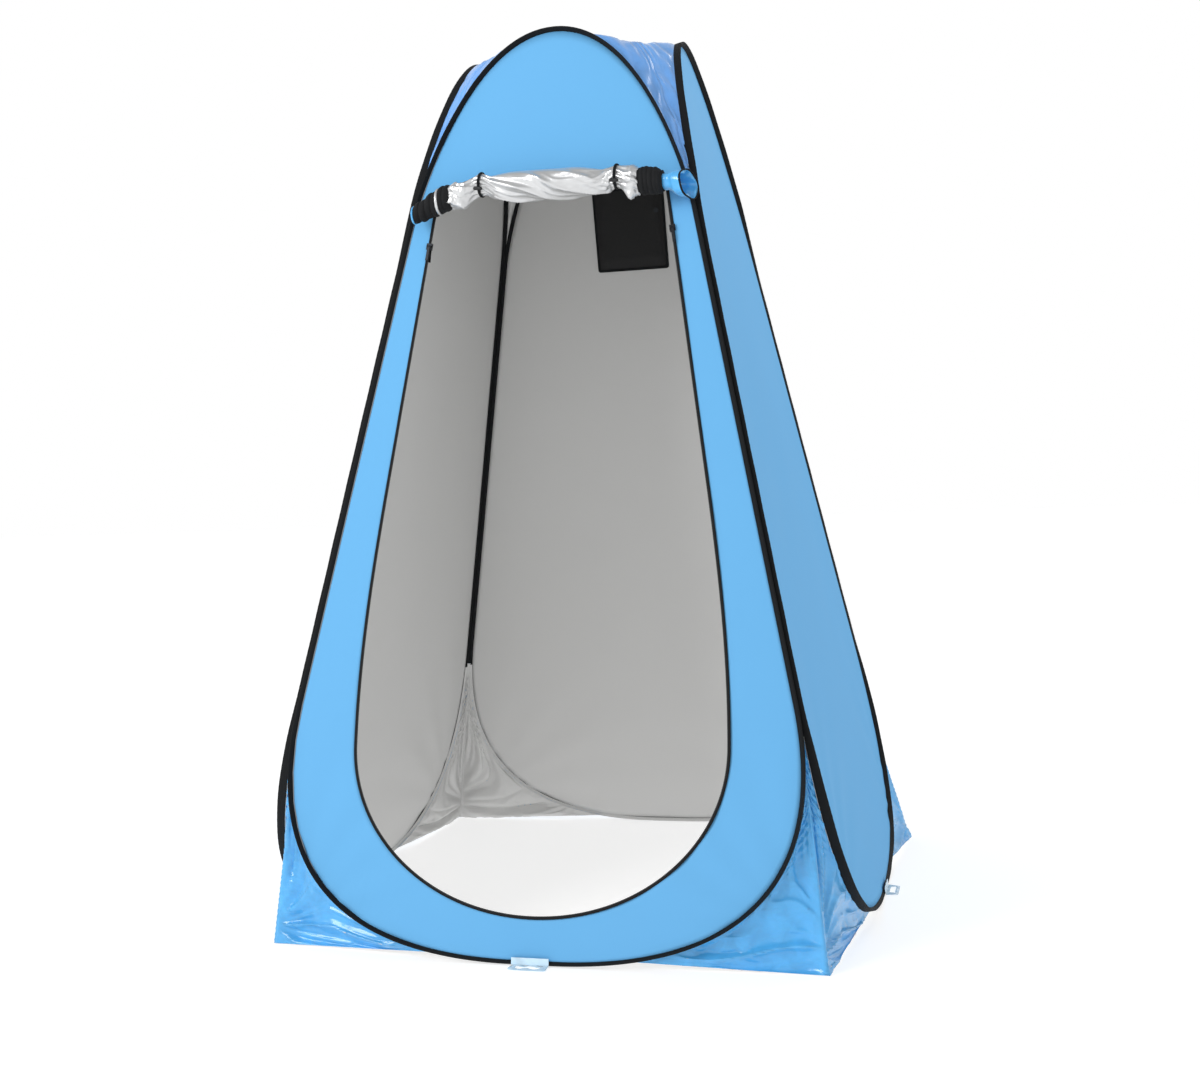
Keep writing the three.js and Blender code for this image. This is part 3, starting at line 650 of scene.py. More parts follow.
def make_band(side):
    """A hoop's sleeve: a folded tape round the wire. Its section is a flat outer face with rounded edges that
    narrows to the wall cloth, carried round the wire line; it is wide where the hoop is free and narrow where
    two hoops are sewn together, with a small pucker at each stitch."""
    sizes = bpy.context.scene.tent_sizes
    count = 900
    line = hoop_line(side, count)
    share = seam_share(line)[:, None]
    half = sizes.band_free + (sizes.band_seam - sizes.band_free) * share
    half = np.where(line[:, 1:] < 0.03, np.minimum(half, 6.5 * MM), half)
    half = np.stack([np.convolve(np.tile(half[:, 0], 3), np.ones(25) / 25, "same")[count:2 * count]], axis=1)
    length = np.linspace(0, 2 * math.pi, count, endpoint=False)
    pucker = 0.25 * MM * np.sin(length * 580)[:, None] + 0.35 * MM * np.sin(length * 37 + 1)[:, None]
    a = np.array([3.5, 3.7, 3.7, 3.5, 2.7, 0.5, -2.1, -4.1, -4.1, -2.1, 0.5, 2.7]) * MM
    b = np.array([-0.86, -0.4, 0.4, 0.86, 1.0, 0.74, 0.36, 0.16, -0.16, -0.36, -0.74, -1.0])
    reach = np.maximum(a, 0.0)[None, :] * 0.5 * share + a[None, :]     # sewn bands lean on each other
    profile = np.stack(np.broadcast_arrays(reach, b[None, :] * (half + pucker * 0.6)), axis=-1)
    rim = outward(line)
    centres = in_wall(side, line[:, 0], line[:, 1])
    across = in_wall(side, rim[:, 0], rim[:, 1]) - in_wall(side, 0, 0)
    normals = np.broadcast_to(wall_normal(side), centres.shape)
    points, faces = tube(centres, across, normals, profile, close=True)
    perimeter = np.linalg.norm(np.diff(np.vstack([line, line[:1]]), axis=0), axis=1).sum()
    along = np.linspace(0, perimeter, count, endpoint=False)[:, None]
    uv = np.stack(np.broadcast_arrays(along, (b * 0.009)[None, :]), axis=-1)
    inner = (np.arange(len(a))[None, :] >= 8) & (line[:, 1:] < SPLIT - 0.01)   # lined below the split
    piece = mesh_object(f"{side}_hoop_band", points, faces, [LOOKS["binding"], LOOKS["wall_inside"]], uv,
                        inner.ravel().astype(int))
    face_out(piece)
    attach(piece, f"{side}_panel")
    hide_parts(f"{side}_hoop_sleeve")
    return piece


def face_out(piece):
    """Turns a closed body's faces outwards if its volume comes out negative."""
    data = piece.data
    data.calc_loop_triangles()
    triangles = np.zeros(len(data.loop_triangles) * 3, np.int32)
    data.loop_triangles.foreach_get("vertices", triangles)
    points = np.zeros(len(data.vertices) * 3)
    data.vertices.foreach_get("co", points)
    p = points.reshape(-1, 3)[triangles.reshape(-1, 3)]
    if np.einsum("ij,ij->i", p[:, 0], np.cross(p[:, 1], p[:, 2])).sum() < 0:
        data.flip_normals()


class TENT_OT_walls(Operator):
    """Make the four cloth walls and the bands round their hoops"""
    bl_idname = "tent.walls"
    bl_label = "Make walls and bands"

    def execute(self, context):
        for side in SIDES:
            make_band(side)
            make_wall(side)
        return {"FINISHED"}


# ---- corner gussets -------------------------------------------------------------------------------
def lower_arc(side, hand, rows):
    """Where a gusset is sewn to a hoop: behind its band, from the seam's split down to the foot, in the
    tent's frame."""
    line = hoop_line(side, 2400) * [hand, 1]
    edge = line[(line[:, 0] > 0.185) & (line[:, 1] < SPLIT)]
    edge = even(edge[np.argsort(-edge[:, 1])], rows) * [hand, 1]
    behind = -3.2 * MM - 4.6 * MM * smooth((SPLIT - edge[:, 1]) / 0.12)
    return in_wall(side, edge[:, 0], edge[:, 1], behind)


def corner_seam(side, hand, corner, rows):
    """A gusset's middle seam: from the split of two hoops straight down to the corner's point on the ground,
    with the rows closer together at the top."""
    top = in_wall(side, hand * (seam_x(SPLIT) - 9 * MM), SPLIT, -9 * MM)
    foot = np.array([*FEET[corner], 1.5 * MM])
    share = np.linspace(0, 1, rows)[:, None] ** 1.1
    return top * (1 - share) + foot * share


def gusset_half(side, hand, corner, rows, columns):
    """Half a gusset as a grid: column 0 on the hoop band, the last on the corner's middle seam, and the last
    row on the ground."""
    arc = lower_arc(side, hand, rows)
    seam = corner_seam(side, hand, corner, rows)
    share = np.linspace(0, 1, columns)[None, :, None]
    return arc[:, None, :] * (1 - share) + seam[:, None, :] * share


def fold_relief(fall, near_seam, seed):
    """Crisp slack folds, between -1 and 1. Each set is a train of sharp ridges, the absolute value of a sine:
    short level crinkles near the top, and long folds that fan out from the foot of the middle seam."""
    source = np.random.default_rng(seed)
    angle = np.arctan2(0.92 - fall, 1.1 - near_seam)
    wander = 0.5 * np.sin(5.0 * near_seam + source.uniform(0, 6))
    wander = wander + 0.35 * np.sin(9.0 * fall + source.uniform(0, 6))
    level = 1 - 2 * np.abs(np.sin(math.pi * (fall * 24 + 0.9 * near_seam + 0.6 * wander))) ** 0.8
    fan = 1 - 2 * np.abs(np.sin(angle * 6.5 + wander)) ** 0.6
    finer = 1 - 2 * np.abs(np.sin(angle * 15 + 2.2 * wander)) ** 0.7
    upper = smooth(1.5 - fall * 2.6)
    return 0.5 * level * upper + (0.7 * fan + 0.3 * finer) * (1 - upper)


def make_gusset(name, corner, halves, body):
    """A gusset, or half of one: the grid of each half, folded, then settled as slack cloth held at the hoop
    bands, the ground corner and the hem."""
    sizes = bpy.context.scene.tent_sizes
    rows, columns = 130, 46
    grids = [gusset_half(side, hand, corner, rows, columns) for side, hand in halves]
    grid = grids[0] if len(grids) == 1 else np.concatenate([grids[0], grids[1][:, -2::-1]], axis=1)
    fall = np.linspace(0, 1, rows)[:, None]
    across = np.linspace(0, 1, grid.shape[1])[None, :]
    near_seam = across if len(grids) == 1 else 1 - np.abs(2 * across - 1)
    out = np.array([corner[0], corner[1], 0.3])
    out /= np.linalg.norm(out)
    folds = fold_relief(fall + 0 * across, near_seam + 0.07 * np.sign(across - 0.5), 11 + len(name))
    slack = smooth(near_seam * 4) * smooth((1 - near_seam) * 9) * smooth(fall * 7)
    slack = slack * smooth((1 - fall) * 14 + 0.35)
    stitched = -1.2 * MM * np.exp(-((1 - near_seam) / 0.03) ** 2) * (1 + 0.5 * np.sin(fall * 260))
    grid = grid + out * (sizes.crease * folds * slack * (0.5 + fall) + stitched * smooth(fall * 9))[..., None]
    grid[..., 2] = np.maximum(grid[..., 2], 0.8 * MM)
    uv = np.stack(np.broadcast_arrays(across * 0.5, 1 - fall), axis=-1)
    piece = mesh_object(name, grid, grid_faces(*grid.shape[:2]), [LOOKS["satin"], LOOKS["satin_inside"]], uv)
    turn_out(piece, out)
    held = np.zeros(grid.shape[:2])
    held[:, 0] = 1.0
    held[:, -1] = 1.0
    held[0, :] = 1.0
    held[-1, :] = 0.9
    if len(grids) == 2:
        held[-1, columns - 1] = 1.0
    settle(piece, held.ravel(), sizes.settle_frames, grow=0.01, gravity=0.2, cap=0.005, bending=0.05)
    on_ground(piece)
    thicken(piece, sizes.satin, inside=True)
    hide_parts(*[f"{side}_gusset_{'right' if hand > 0 else 'left'}" for side, hand in halves])
    if len(body) == 1:
        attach(piece, body[0])
    else:
        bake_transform(piece)
    return piece


def path_length(points):
    return float(np.linalg.norm(np.diff(points, axis=0), axis=1).sum())


def on_ground(piece):
    """Keeps every point of a settled cloth above the ground."""
    count = len(piece.data.vertices)
    points = np.zeros(count * 3)
    piece.data.vertices.foreach_get("co", points)
    points[2::3] = np.maximum(points[2::3], 0.8 * MM)
    piece.data.vertices.foreach_set("co", points)
    piece.data.update()


class TENT_OT_gussets(Operator):
    """Make the slack gussets at the four ground corners"""
    bl_idname = "tent.gussets"
    bl_label = "Make gussets"

    def execute(self, context):
        make_gusset("gusset_front_right", (1, -1), [("front", 1), ("right", -1)],
                    ("front_panel", "right_panel"))
        make_gusset("gusset_back_right", (1, 1), [("back", -1), ("right", 1)], ("back_panel", "right_panel"))
        make_gusset("gusset_back_left", (-1, 1), [("back", 1), ("left", -1)], ("back_panel", "left_panel"))
        make_gusset("gusset_front_left_a", (-1, -1), [("front", -1)], ("front_panel",))
        make_gusset("gusset_front_left_b", (-1, -1), [("left", 1)], ("left_panel",))
        return {"FINISHED"}


# ---- roof -----------------------------------------------------------------------------------------
def top_arc(side, count):
    """The top of a hoop from one corner seam to the other, on the band's inner side, in the tent's frame."""
    line = half_hoop(0.0)
    line = line[line[:, 1] >= SEAM_HEAD - 0.012]
    arc = even(np.vstack([line * [-1, 1], line[::-1][1:]]), count)
    return in_wall(side, arc[:, 0], arc[:, 1], -2.0 * MM)


class TENT_OT_roof(Operator):
    """Make the roof, taut between neighbouring hoops: level lines join them, so its height depends only on
    |x| + |y|"""
    bl_idname = "tent.roof"
    bl_label = "Make roof"

    def execute(self, context):
        sizes = context.scene.tent_sizes
        per_side, rings = 72, 44
        rim = np.concatenate([top_arc(side, per_side + 1)[:-1] for side in SIDES])
        share = np.linspace(0, 1, rings)[1:, None, None] ** 0.8
        grid = rim[None] * share
        arc = top_arc("front", 200)[:100]
        reach = np.abs(arc[:, 0]) + np.abs(arc[:, 1])               # falls towards the hoop's top
        taut = lambda plan: np.interp(np.abs(plan[..., 0]) + np.abs(plan[..., 1]), reach[::-1], arc[::-1, 2])
        inside = np.sin(math.pi * share[..., 0] ** 1.5)
        turn = np.linspace(0, 8 * math.pi, len(rim), endpoint=False)
        pleats = 1.6 * MM * np.sin(turn * 9 + 3 * share[..., 0]) * smooth(share[..., 0] * 2 - 0.6)
        crumple = ripples(grid[..., :2], 5, (0.07, 0.035), 3.0 * MM)
        grid[..., 2] = taut(grid) + inside * (pleats + crumple - 2.0 * MM)
        centre = np.array([0.0, 0.0, grid[0, :, 2].mean()])
        points = np.vstack([grid.reshape(-1, 3), centre])
        faces = grid_faces(rings - 1, len(rim), close_columns=True)
        hub = len(points) - 1
        ring = np.arange(len(rim))
        fan = np.stack([np.full(len(ring), hub), (ring + 1) % len(ring), ring], axis=1)
        whole = mesh_object("roof_cloth", points, [faces, fan], [])
        held = np.zeros(len(points))
        held[(rings - 4) * len(rim):(rings - 1) * len(rim)] = 1.0
        settle(whole, held, sizes.settle_frames, grow=0.012, gravity=0.05, cap=0.006, bending=0.02)
        shaped = np.zeros(len(points) * 3)
        whole.data.vertices.foreach_get("co", shaped)
        shaped = shaped.reshape(-1, 3)
        bpy.data.objects.remove(whole)
        for quarter, side in enumerate(SIDES):
            make_gore(side, shaped[:-1].reshape(rings - 1, len(rim), 3), shaped[-1], quarter * per_side,
                      per_side)
        return {"FINISHED"}


def make_gore(side, grid, centre, first, per_side):
    """One quarter of the settled roof: the columns that end on one hoop, joined at the roof's middle."""
    columns = (first + np.arange(per_side + 1)) % grid.shape[1]
    part = grid[:, columns]
    points = np.vstack([part.reshape(-1, 3), centre])
    hub = len(points) - 1
    ring = np.arange(per_side)
    fan = np.stack([np.full(per_side, hub), ring + 1, ring], axis=1)
    faces = [grid_faces(*part.shape[:2]), fan]
    uv = points[:, :2]
    piece = mesh_object(f"{side}_roof_cloth", points, faces, [LOOKS["roof"], LOOKS["satin_inside"]], uv)
    turn_out(piece, (0, 0, 1))
    thicken(piece, bpy.context.scene.tent_sizes.satin, inside=True)
    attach(piece, f"{side}_panel")
    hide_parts(f"{side}_roof_gore")
    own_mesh(piece)
    return piece


# ---- doorway zip ----------------------------------------------------------------------------------
def right_of(line):
    """Unit normals to the right of an open line."""
    along = np.gradient(line, axis=0)
    along /= np.linalg.norm(along, axis=1)[:, None]
    return np.stack([along[:, 1], -along[:, 0]], axis=1)


class TENT_OT_zip(Operator):
    """Make the zip tape and coil round the doorway"""
    bl_idname = "tent.zip"
    bl_label = "Make zip"

    def execute(self, context):
        sizes = context.scene.tent_sizes
        line = door_line(1400, closed=False)
        rim = right_of(line)
        centres = in_wall("front", line[:, 0], line[:, 1])
        across = in_wall("front", rim[:, 0], rim[:, 1]) - in_wall("front", 0, 0)
        normal = np.broadcast_to(wall_normal("front"), centres.shape)
        distance = np.concatenate([[0], np.cumsum(np.linalg.norm(np.diff(line, axis=0), axis=1))])
        a = np.array([-2.4, -2.4, 0.6, 3.4, 3.4, 0.6]) * MM
        b = np.array([-0.35, 0.35, 0.5, 0.9, -0.9, -0.5]) * MM
        points, faces = tube(centres, across, normal, np.stack([a, b], axis=1))
        flat, closed = capped(points, faces)
        uv = np.stack(np.broadcast_arrays(distance[:, None], a[None, :]), axis=-1).reshape(-1, 2)
        uv = np.vstack([uv, uv[:1], uv[-1:]])
        tape = mesh_object("doorway_zip_tape", flat, closed, [LOOKS["zip_tape"]], uv)
        face_out(tape)
        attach(tape, "front_panel")
        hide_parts("doorway_zip")
        # the coil: a tube whose radius swells and shrinks once for each turn of the coil
        line = even(line, int(distance[-1] / sizes.coil_pitch * 5))
        rim = right_of(line)
        centres = in_wall("front", line[:, 0] - rim[:, 0] * 2.2 * MM, line[:, 1] - rim[:, 1] * 2.2 * MM)
        across = in_wall("front", rim[:, 0], rim[:, 1]) - in_wall("front", 0, 0)
        distance = np.linspace(0, distance[-1], len(line))
        radius = 1.0 * MM + 0.3 * MM * np.sin(2 * math.pi * distance / sizes.coil_pitch)
        turn = np.linspace(0, 2 * math.pi, 8, endpoint=False)
        profile = radius[:, None, None] * np.stack([np.cos(turn), 0.8 * np.sin(turn)], axis=1)[None]
        points, faces = tube(centres, across, np.broadcast_to(wall_normal("front"), centres.shape), profile)
        flat, closed = capped(points, faces)
        coil = mesh_object("doorway_zip_coil", flat, closed, [LOOKS["coil"]])
        face_out(coil)
        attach(coil, "front_panel")
        return {"FINISHED"}


# ---- rolled door ----------------------------------------------------------------------------------
def station(stations, x):
    """Height of the roll's axis and its radius at x, eased between the stations."""
    table = np.array(stations)
    place = np.interp(x, table[:, 0], np.arange(len(table)))
    low = np.minimum(place.astype(int), len(table) - 2)
    t = smooth(place - low)[..., None]
    eased = table[low, 1:] * (1 - t) + table[low + 1, 1:] * t
    return eased[..., 0], eased[..., 1]


def turned(stations, rows, columns, relief=None):
    """A turned body round the roll's bent axis: radius by x, plus relief(x, angle) on top."""
    x = np.linspace(stations[0][0], stations[-1][0], rows)
    height, radius = station(stations, x)
    turn = np.linspace(0, 2 * math.pi, columns, endpoint=False)
    size = radius[:, None] + (relief(x[:, None], turn[None, :]) if relief else 0.0)
    up = height[:, None] + size * np.sin(turn)[None, :]
    out = ROLL_STAND + size * np.cos(turn)[None, :]
    points = in_wall("front", np.broadcast_to(x[:, None], up.shape), up, out)
    return points, grid_faces(rows, columns, close_columns=True), x, turn


def roll_piece(name, stations, rows, columns, look, replaced, relief=None):
    """A capped turned body on the front panel."""
    points, faces, x, turn = turned(stations, rows, columns, relief)
    flat, closed = capped(points, faces)
    uv = np.stack(np.broadcast_arrays(x[:, None], turn[None, :] * 0.03), axis=-1).reshape(-1, 2)
    uv = np.vstack([uv, uv[:1], uv[-1:]])
    piece = mesh_object(name, flat, closed, [LOOKS[look]], uv)
    face_out(piece)
    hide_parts(replaced)
    return piece


def cloth_relief(x, turn):
    """The rolled cloth's surface over its plain radius: a smooth top; long slanted folds below it, each a
    ridge along a helix; pleats that gather at the ties; and a corner of cloth that flares beside each tie."""
    gather = sum(np.exp(-((x - at) / 0.016) ** 2) for at in TIES.values())
    helix = (x + 0.07 * turn + 0.006 * np.sin(40 * x)) / (0.07 * 2 * math.pi / 5)
    ridges = 1 - np.abs(np.sin(math.pi * helix)) ** 0.55
    finer = 1 - np.abs(np.sin(math.pi * (2 * helix + 0.3 * np.sin(60 * x)))) ** 0.7
    below = smooth((0.75 - np.sin(turn)) / 0.7)
    folds = (8.0 * MM * ridges + 2.4 * MM * finer - 4.0 * MM) * below * (1 - gather)
    near_tie = sum(np.exp(-((x - at) / 0.035) ** 2) for at in TIES.values())
    pleats = 1.9 * MM * np.sin(11 * turn + 30 * x) * near_tie
    flares = sum(11 * MM * np.exp(-((x - place) / 0.011) ** 2 - ((turn - 1.5 * math.pi - 0.1) / 0.42) ** 2)
                 for place in (TIES["left"] - 0.036, TIES["right"] + 0.028))
    return folds + pleats * (0.35 + 0.65 * below) + flares


def ribs(pitch, depth, seed):
    """Rings of wound tape: a rounded rib for each turn, each a little off centre."""
    source = np.random.default_rng(seed)
    lean = source.uniform(0, 2 * math.pi, 40)

    def relief(x, turn):
        step = x / pitch
        number = np.floor(step).astype(int) % 40
        rise = np.abs(np.sin(math.pi * step)) ** 0.6
        return depth * (rise - 0.5) + 0.7 * MM * np.cos(turn - lean[number])
    return relief


class TENT_OT_rolled_door(Operator):
    """Make the rolled-up door, its wound zip ends, cuffs and ties"""
    bl_idname = "tent.rolled_door"
    bl_label = "Make rolled door"

    def execute(self, context):
        rows, columns = 190, 84
        roll = roll_piece("door_roll_cloth", ROLL_CLOTH, rows, columns, "silver",
                          "door_roll", cloth_relief)
        x = np.linspace(ROLL_CLOTH[0][0], ROLL_CLOTH[-1][0], rows)
        held = np.zeros((rows, columns))
        for at in TIES.values():
            held[np.abs(x - at) < 0.004] = 1.0
        held[[0, 1, -1, -2]] = 1.0
        held = np.append(held.ravel(), [1.0, 1.0])
        settle(roll, held, 14, grow=0.05, gravity=0.3, pressure=1.5, cap=0.008, bending=0.3)
        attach(roll, "front_panel")
        left = roll_piece("door_zip_wound_left", ROLL_LEFT, 150, 56, "zip_tape",
                          "door_zip_winding_left", ribs(0.0135, 3.0 * MM, 1))
        right = roll_piece("door_zip_wound_right", ROLL_RIGHT, 90, 56, "zip_tape",
                           "door_zip_winding_right", ribs(0.0090, 1.8 * MM, 2))
        for piece in (left, right):
            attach(piece, "front_panel")
        self.cuff()
        self.silver_ring()
        for name, x in TIES.items():
            self.tie(name, x)
        return {"FINISHED"}

    def cuff(self):
        """The flared mouth at the right end: an outer skin, a bound rim and a folded inner skin."""
        outer, mouth, depth = 40, ROLL_CUFF[-1][0], 0.268   # outer rings; where the two skins meet and end
        x = np.concatenate([np.linspace(ROLL_CUFF[0][0], mouth, outer), np.linspace(mouth, depth, 30)[1:]])
        height, radius = station(ROLL_CUFF, x)
        inner = np.arange(len(x)) >= outer
        radius = np.where(inner, radius * 0.86, radius)
        turn = np.linspace(0, 2 * math.pi, 72, endpoint=False)
        lobes = np.where(inner, 0.16, 0.03)[:, None] * np.sin(5 * turn)[None, :]
        wave = 1 + 0.05 * np.sin(2 * turn + 1)[None, :] + lobes
        up = height[:, None] + radius[:, None] * wave * np.sin(turn)
        out = ROLL_STAND + radius[:, None] * wave * np.cos(turn)
        swing = 0.42 * smooth((x - 0.264) / 0.03)[:, None]          # the mouth turns towards the front
        beside = x[:, None] - swing * (out - ROLL_STAND)
        points = in_wall("front", beside, up, out)
        flat, closed = capped(points, grid_faces(len(x), len(turn), close_columns=True))
        piece = mesh_object("door_end_cuff", flat, closed, [LOOKS["satin"]])
        face_out(piece)
        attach(piece, "front_panel")
        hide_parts("door_roll_cuff")
        self.ring("door_cuff_rim", points[outer - 1], 2.4 * MM, "binding", "binding_black")

    def hoop(self, stations, x, over, sides, sway=0.0):
        """A circle round the roll at x, some way over its surface, that sways along x from front to back."""
        turn = np.linspace(0, 2 * math.pi, sides, endpoint=False)
        height, radius = station(stations, np.array([x]))
        size = radius[0] + over
        return in_wall("front", x + sway * np.sin(turn), height[0] + size * np.sin(turn),
                       ROLL_STAND + size * np.cos(turn))

    def silver_ring(self):
        """The silver turn that shows between two ribs of the left winding, and the rim of its mouth."""
        turn, mouth = -0.229, -0.285
        self.ring("door_zip_silver_turn", self.hoop(ROLL_LEFT, turn, 0.6 * MM, 64), 3.2 * MM, "silver",
                  "silver_coating")
        self.ring("door_left_rim", self.hoop(ROLL_LEFT, mouth, 0.0, 64), 2.0 * MM, "satin", "satin_blue")

    def ring(self, name, line, size, look, slot):
        """A round-section ring along a closed line."""
        along = np.roll(line, -1, axis=0) - np.roll(line, 1, axis=0)
        along /= np.linalg.norm(along, axis=1)[:, None]
        middle = line.mean(axis=0)
        across = line - middle
        across /= np.linalg.norm(across, axis=1)[:, None]
        beside = np.cross(along, across)
        turn = np.linspace(0, 2 * math.pi, 10, endpoint=False)
        profile = size * np.stack([0.6 * np.cos(turn), np.sin(turn)], axis=1)
        points, faces = tube(line, across, beside, profile, close=True)
        length = np.linspace(0, 2 * math.pi * np.linalg.norm(line[0] - middle), len(line))[:, None]
        uv = np.stack(np.broadcast_arrays(length, turn[None, :] * size), axis=-1)
        piece = mesh_object(name, points, faces, [LOOKS[look]], uv)
        face_out(piece)
        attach(piece, "front_panel")
        return piece

    def tie(self, name, x):
        """A black tie drawn tight round the roll."""
        line = self.hoop(ROLL_CLOTH, x, 2.6 * MM, 72, sway=1.5 * MM)
        piece = self.ring(f"door_tie_{name}_cord", line, 3.0 * MM, "binding", "binding_black")
        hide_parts(f"door_tie_{name}")


# ---- small pieces ---------------------------------------------------------------------------------
class TENT_OT_pocket(Operator):
    """Make the mesh pocket inside the back wall"""
    bl_idname = "tent.pocket"
    bl_label = "Make pocket"

    def execute(self, context):
        low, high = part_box("wall_pocket")
        half, middle = (high.x - low.x) / 2, -(low.x + high.x) / 2
        foot, head = low.z / COS + 1.5 * MM, high.z / COS
        rows, columns = 48, 40
        u = np.linspace(-half, half, columns)[None, :]
        v = np.linspace(foot, head, rows)[:, None]
        rise = (v - foot) / (head - foot)
        belly = 4.5 * MM + 8 * MM * smooth((half - np.abs(u)) / (0.22 * half)) * smooth(rise * 6.0)
        sag = 3 * MM * (1 - (u / half) ** 2) * rise
        front = in_wall("back", middle + np.broadcast_to(u, belly.shape), v - sag, -belly)
        uv = np.stack(np.broadcast_arrays(u + half, v - foot), axis=-1)
        piece = mesh_object("pocket_net", front, grid_faces(rows, columns), [LOOKS["pocket"]], uv)
        thicken(piece, 0.8 * MM)
        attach(piece, "back_panel")
        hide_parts("wall_pocket")
        edge = np.concatenate([front[::-1, 0], front[0, 1:], front[1:, -1]])
        self.bind("pocket_edge_binding", edge, 3.4 * MM, 1.0 * MM)
        mouth = front[-1]
        binding = self.bind("pocket_mouth_binding", mouth, 5.0 * MM, 0.9 * MM)
        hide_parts("pocket_binding")
        return {"FINISHED"}

    def bind(self, name, line, half_width, half_thick):
        """A flat folded tape along a line, facing into the tent."""
        line = even(line, 160)
        side, up = path_frames(line, wall_normal("back"))
        a = np.array([-1, -0.8, 0.8, 1, 0.8, -0.8]) * half_width
        b = np.array([0, 1, 1, 0, -1, -1]) * half_thick
        points, faces = tube(line, side, up, np.stack([a, b], axis=1))
        flat, closed = capped(points, faces)
        distance = np.linspace(0, 0.5, len(line))[:, None]
        uv = np.stack(np.broadcast_arrays(distance, a[None, :]), axis=-1).reshape(-1, 2)
        piece = mesh_object(name, flat, closed, [LOOKS["binding"]], np.vstack([uv, uv[:1], uv[-1:]]))
        face_out(piece)
        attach(piece, "back_panel")
        return piece


class TENT_OT_peg_tabs(Operator):
    """Make the four crinkled peg tabs at the hoop feet"""
    bl_idname = "tent.peg_tabs"
    bl_label = "Make peg tabs"

    def execute(self, context):
        for side in SIDES:
            self.tab(side)
        return {"FINISHED"}

    def tab(self, side):
        """A wrap over the band and a slotted foot on the ground. The foot is a ring of points between the
        tab's outline and its slot, each a rounded rectangle."""
        low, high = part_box(f"{side}_peg_tab")
        half = 0.038
        turn = SIDES.index(side)
        reach = {0: -low.y, 1: high.x, 2: high.y, 3: -low.x}[turn]
        inner = reach - 0.028
        slot_middle, slot_half, slot_depth = inner + 0.014, 0.025, 0.006
        angle = np.linspace(0, 2 * math.pi, 96, endpoint=False)

        def rounded(half_x, half_y, power):
            c, s = np.cos(angle), np.sin(angle)
            size = (np.abs(c) ** power + np.abs(s) ** power) ** (-1 / power)
            return np.stack([half_x * size * c, half_y * size * s], axis=1)
        outer = rounded(half, 0.0139, 9) + [0, inner + 0.0141]
        slot = rounded(slot_half, slot_depth, 9) + [0, slot_middle]
        share = np.linspace(0, 1, 10)[:, None, None]
        plan = slot[None] * (1 - share) + outer[None] * share
        lift = 1.0 * MM + 1.2 * MM * (1 + np.sin(plan[..., 0] * 210 + plan[..., 1] * 90)) * smooth(
            (reach - plan[..., 1]) / 0.006)
        foot = np.concatenate([plan[..., :1], -plan[..., 1:], lift[..., None]], axis=-1)
        c, s = round(math.cos(turn * math.pi / 2)), round(math.sin(turn * math.pi / 2))
        spin = np.array([[c, -s, 0], [s, c, 0], [0, 0, 1]])
        across = np.linspace(-half, half, 60)[None, :]
        up = np.linspace(0.001, 0.015, 10)[:, None]
        out = 7.6 * MM + 0.5 * MM * np.sin(across * 260 + up * 300) + 0 * up
        wrap = in_wall(side, np.broadcast_to(across, out.shape), np.broadcast_to(up, out.shape), out)
        faces = grid_faces(10, 96, close_columns=True)
        more = grid_faces(10, 60) + foot.shape[0] * foot.shape[1]
        points = np.vstack([(foot.reshape(-1, 3) @ spin.T), wrap.reshape(-1, 3)])
        piece = mesh_object(f"{side}_peg_tab_cloth", points, np.vstack([faces, more]), [LOOKS["tab"]])
        thicken(piece, 0.7 * MM)
        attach(piece, f"{side}_panel")
        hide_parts(f"{side}_peg_tab")


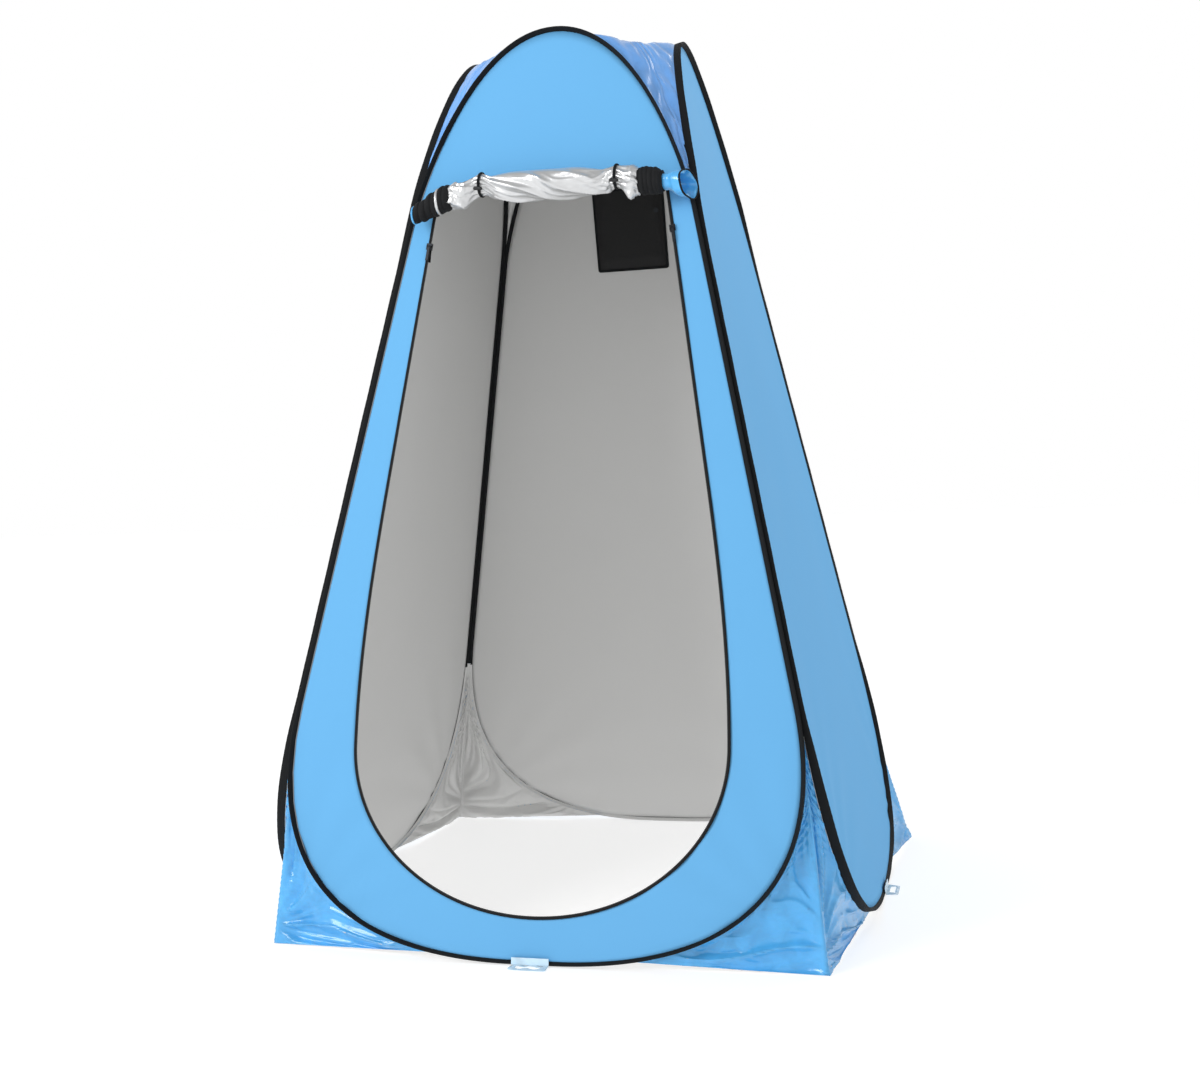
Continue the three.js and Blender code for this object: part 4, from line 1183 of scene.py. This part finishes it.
# ---- stage ----------------------------------------------------------------------------------------
class TENT_OT_stage(Operator):
    """Make the floor, the lights and the camera"""
    bl_idname = "tent.stage"
    bl_label = "Make stage"

    def execute(self, context):
        scene = context.scene
        scene.view_settings.view_transform = "Standard"
        size = 30.0
        data = bpy.data.meshes.new("floor")
        corners = [(-size, -size, 0), (size, -size, 0), (size, size, 0), (-size, size, 0)]
        data.from_pydata(corners, [], [(0, 1, 2, 3)])
        floor = bpy.data.objects.new("floor", data)
        scene.collection.objects.link(floor)
        made, tree, shader = new_material("studio_floor")
        shader.inputs["Base Color"].default_value = (0.5, 0.5, 0.5, 1)
        shader.inputs["Emission Color"].default_value = (1, 1, 1, 1)        # a lit white sweep
        shader.inputs["Emission Strength"].default_value = 0.64
        shader.inputs["Roughness"].default_value = 0.9
        data.materials.append(made)
        world = bpy.data.worlds.new("studio")
        scene.world = world
        world.use_nodes = True
        world.node_tree.nodes["Background"].inputs["Color"].default_value = (1, 1, 1, 1)
        tree = world.node_tree
        direction = add_node(tree, "ShaderNodeTexCoord")
        height = add_node(tree, "ShaderNodeSeparateXYZ", Vector=(direction, "Generated"))
        fall = add_node(tree, "ShaderNodeMapRange", Value=(height, "Z"), From_Min=0.42, From_Max=0.9,
                        To_Min=1.0, To_Max=0.4)
        tree.links.new(fall.outputs["Result"], tree.nodes["Background"].inputs["Strength"])
        self.area("key", (-2.8, -3.6, 2.9), (0, 0, 0.9), 2.0, 110)
        self.area("rim", (1.6, 2.6, 3.4), (0.2, 0, 1.6), 1.6, 30)
        self.camera(context)
        return {"FINISHED"}

    def area(self, name, place, aim, size, power):
        light = bpy.data.lights.new(name, "AREA")
        light.size, light.energy = size, power
        lamp = bpy.data.objects.new(name, light)
        bpy.context.scene.collection.objects.link(lamp)
        lamp.location = place
        forward = np.array(aim, float) - np.array(place, float)
        lamp.rotation_euler = aim_along(forward)
        return lamp

    def camera(self, context):
        """Low, a little right of the doorway, and turned a touch clockwise."""
        turn, pitch, roll = math.radians(15.1), math.radians(-2.26), math.radians(-2.03)
        data = bpy.data.cameras.new("camera")
        data.sensor_width = 36.0
        data.lens = 45.9
        camera = bpy.data.objects.new("camera", data)
        context.scene.collection.objects.link(camera)
        ahead = math.cos(pitch)
        forward = np.array([-math.sin(turn) * ahead, math.cos(turn) * ahead, math.sin(pitch)])
        level = np.array([math.cos(turn), math.sin(turn), 0.0])
        upright = np.cross(level, forward)
        right = level * math.cos(roll) + upright * math.sin(roll)
        up = -level * math.sin(roll) + upright * math.cos(roll)
        place = np.array([math.sin(turn) * 3.528, -math.cos(turn) * 3.528, 0.935])
        rows = [[right[i], up[i], -forward[i], place[i]] for i in range(3)]
        camera.matrix_world = Matrix(rows + [[0, 0, 0, 1]])
        context.scene.camera = camera


def aim_along(forward):
    """Euler angles that point a lamp's -z along a direction."""
    forward = forward / np.linalg.norm(forward)
    side = np.cross(forward, [0, 0, 1])
    side /= np.linalg.norm(side)
    up = np.cross(side, forward)
    return Matrix([[side[i], up[i], -forward[i]] for i in range(3)]).to_euler()


class TENT_PT_panel(Panel):
    """Lists the tent's settings and the steps that build it"""
    bl_label = "Privacy shower tent"
    bl_idname = "TENT_PT_panel"
    bl_space_type = "VIEW_3D"
    bl_region_type = "UI"
    bl_category = "Tent"

    def draw(self, context):
        for group in (context.scene.tent_sizes, context.scene.tent_colours):
            for name in group.__annotations__:
                self.layout.prop(group, name)
        for step in STEPS:
            self.layout.operator(step.bl_idname)


STEPS = (TENT_OT_stage, TENT_OT_materials, TENT_OT_walls, TENT_OT_gussets, TENT_OT_roof, TENT_OT_zip,
         TENT_OT_rolled_door, TENT_OT_pocket, TENT_OT_peg_tabs)
CLASSES = (TentColours, TentSizes) + STEPS + (TENT_PT_panel,)


def register():
    for item in CLASSES:
        bpy.utils.register_class(item)
    bpy.types.Scene.tent_colours = PointerProperty(type=TentColours)
    bpy.types.Scene.tent_sizes = PointerProperty(type=TentSizes)


def unregister():
    del bpy.types.Scene.tent_sizes
    del bpy.types.Scene.tent_colours
    for item in reversed(CLASSES):
        bpy.utils.unregister_class(item)


def main():
    register()
    bpy.ops.tent.stage()
    bpy.ops.tent.materials()
    bpy.ops.tent.walls()
    bpy.ops.tent.gussets()
    bpy.ops.tent.roof()
    bpy.ops.tent.zip()
    bpy.ops.tent.rolled_door()
    bpy.ops.tent.pocket()
    bpy.ops.tent.peg_tabs()


if __name__ == "__main__":
    main()
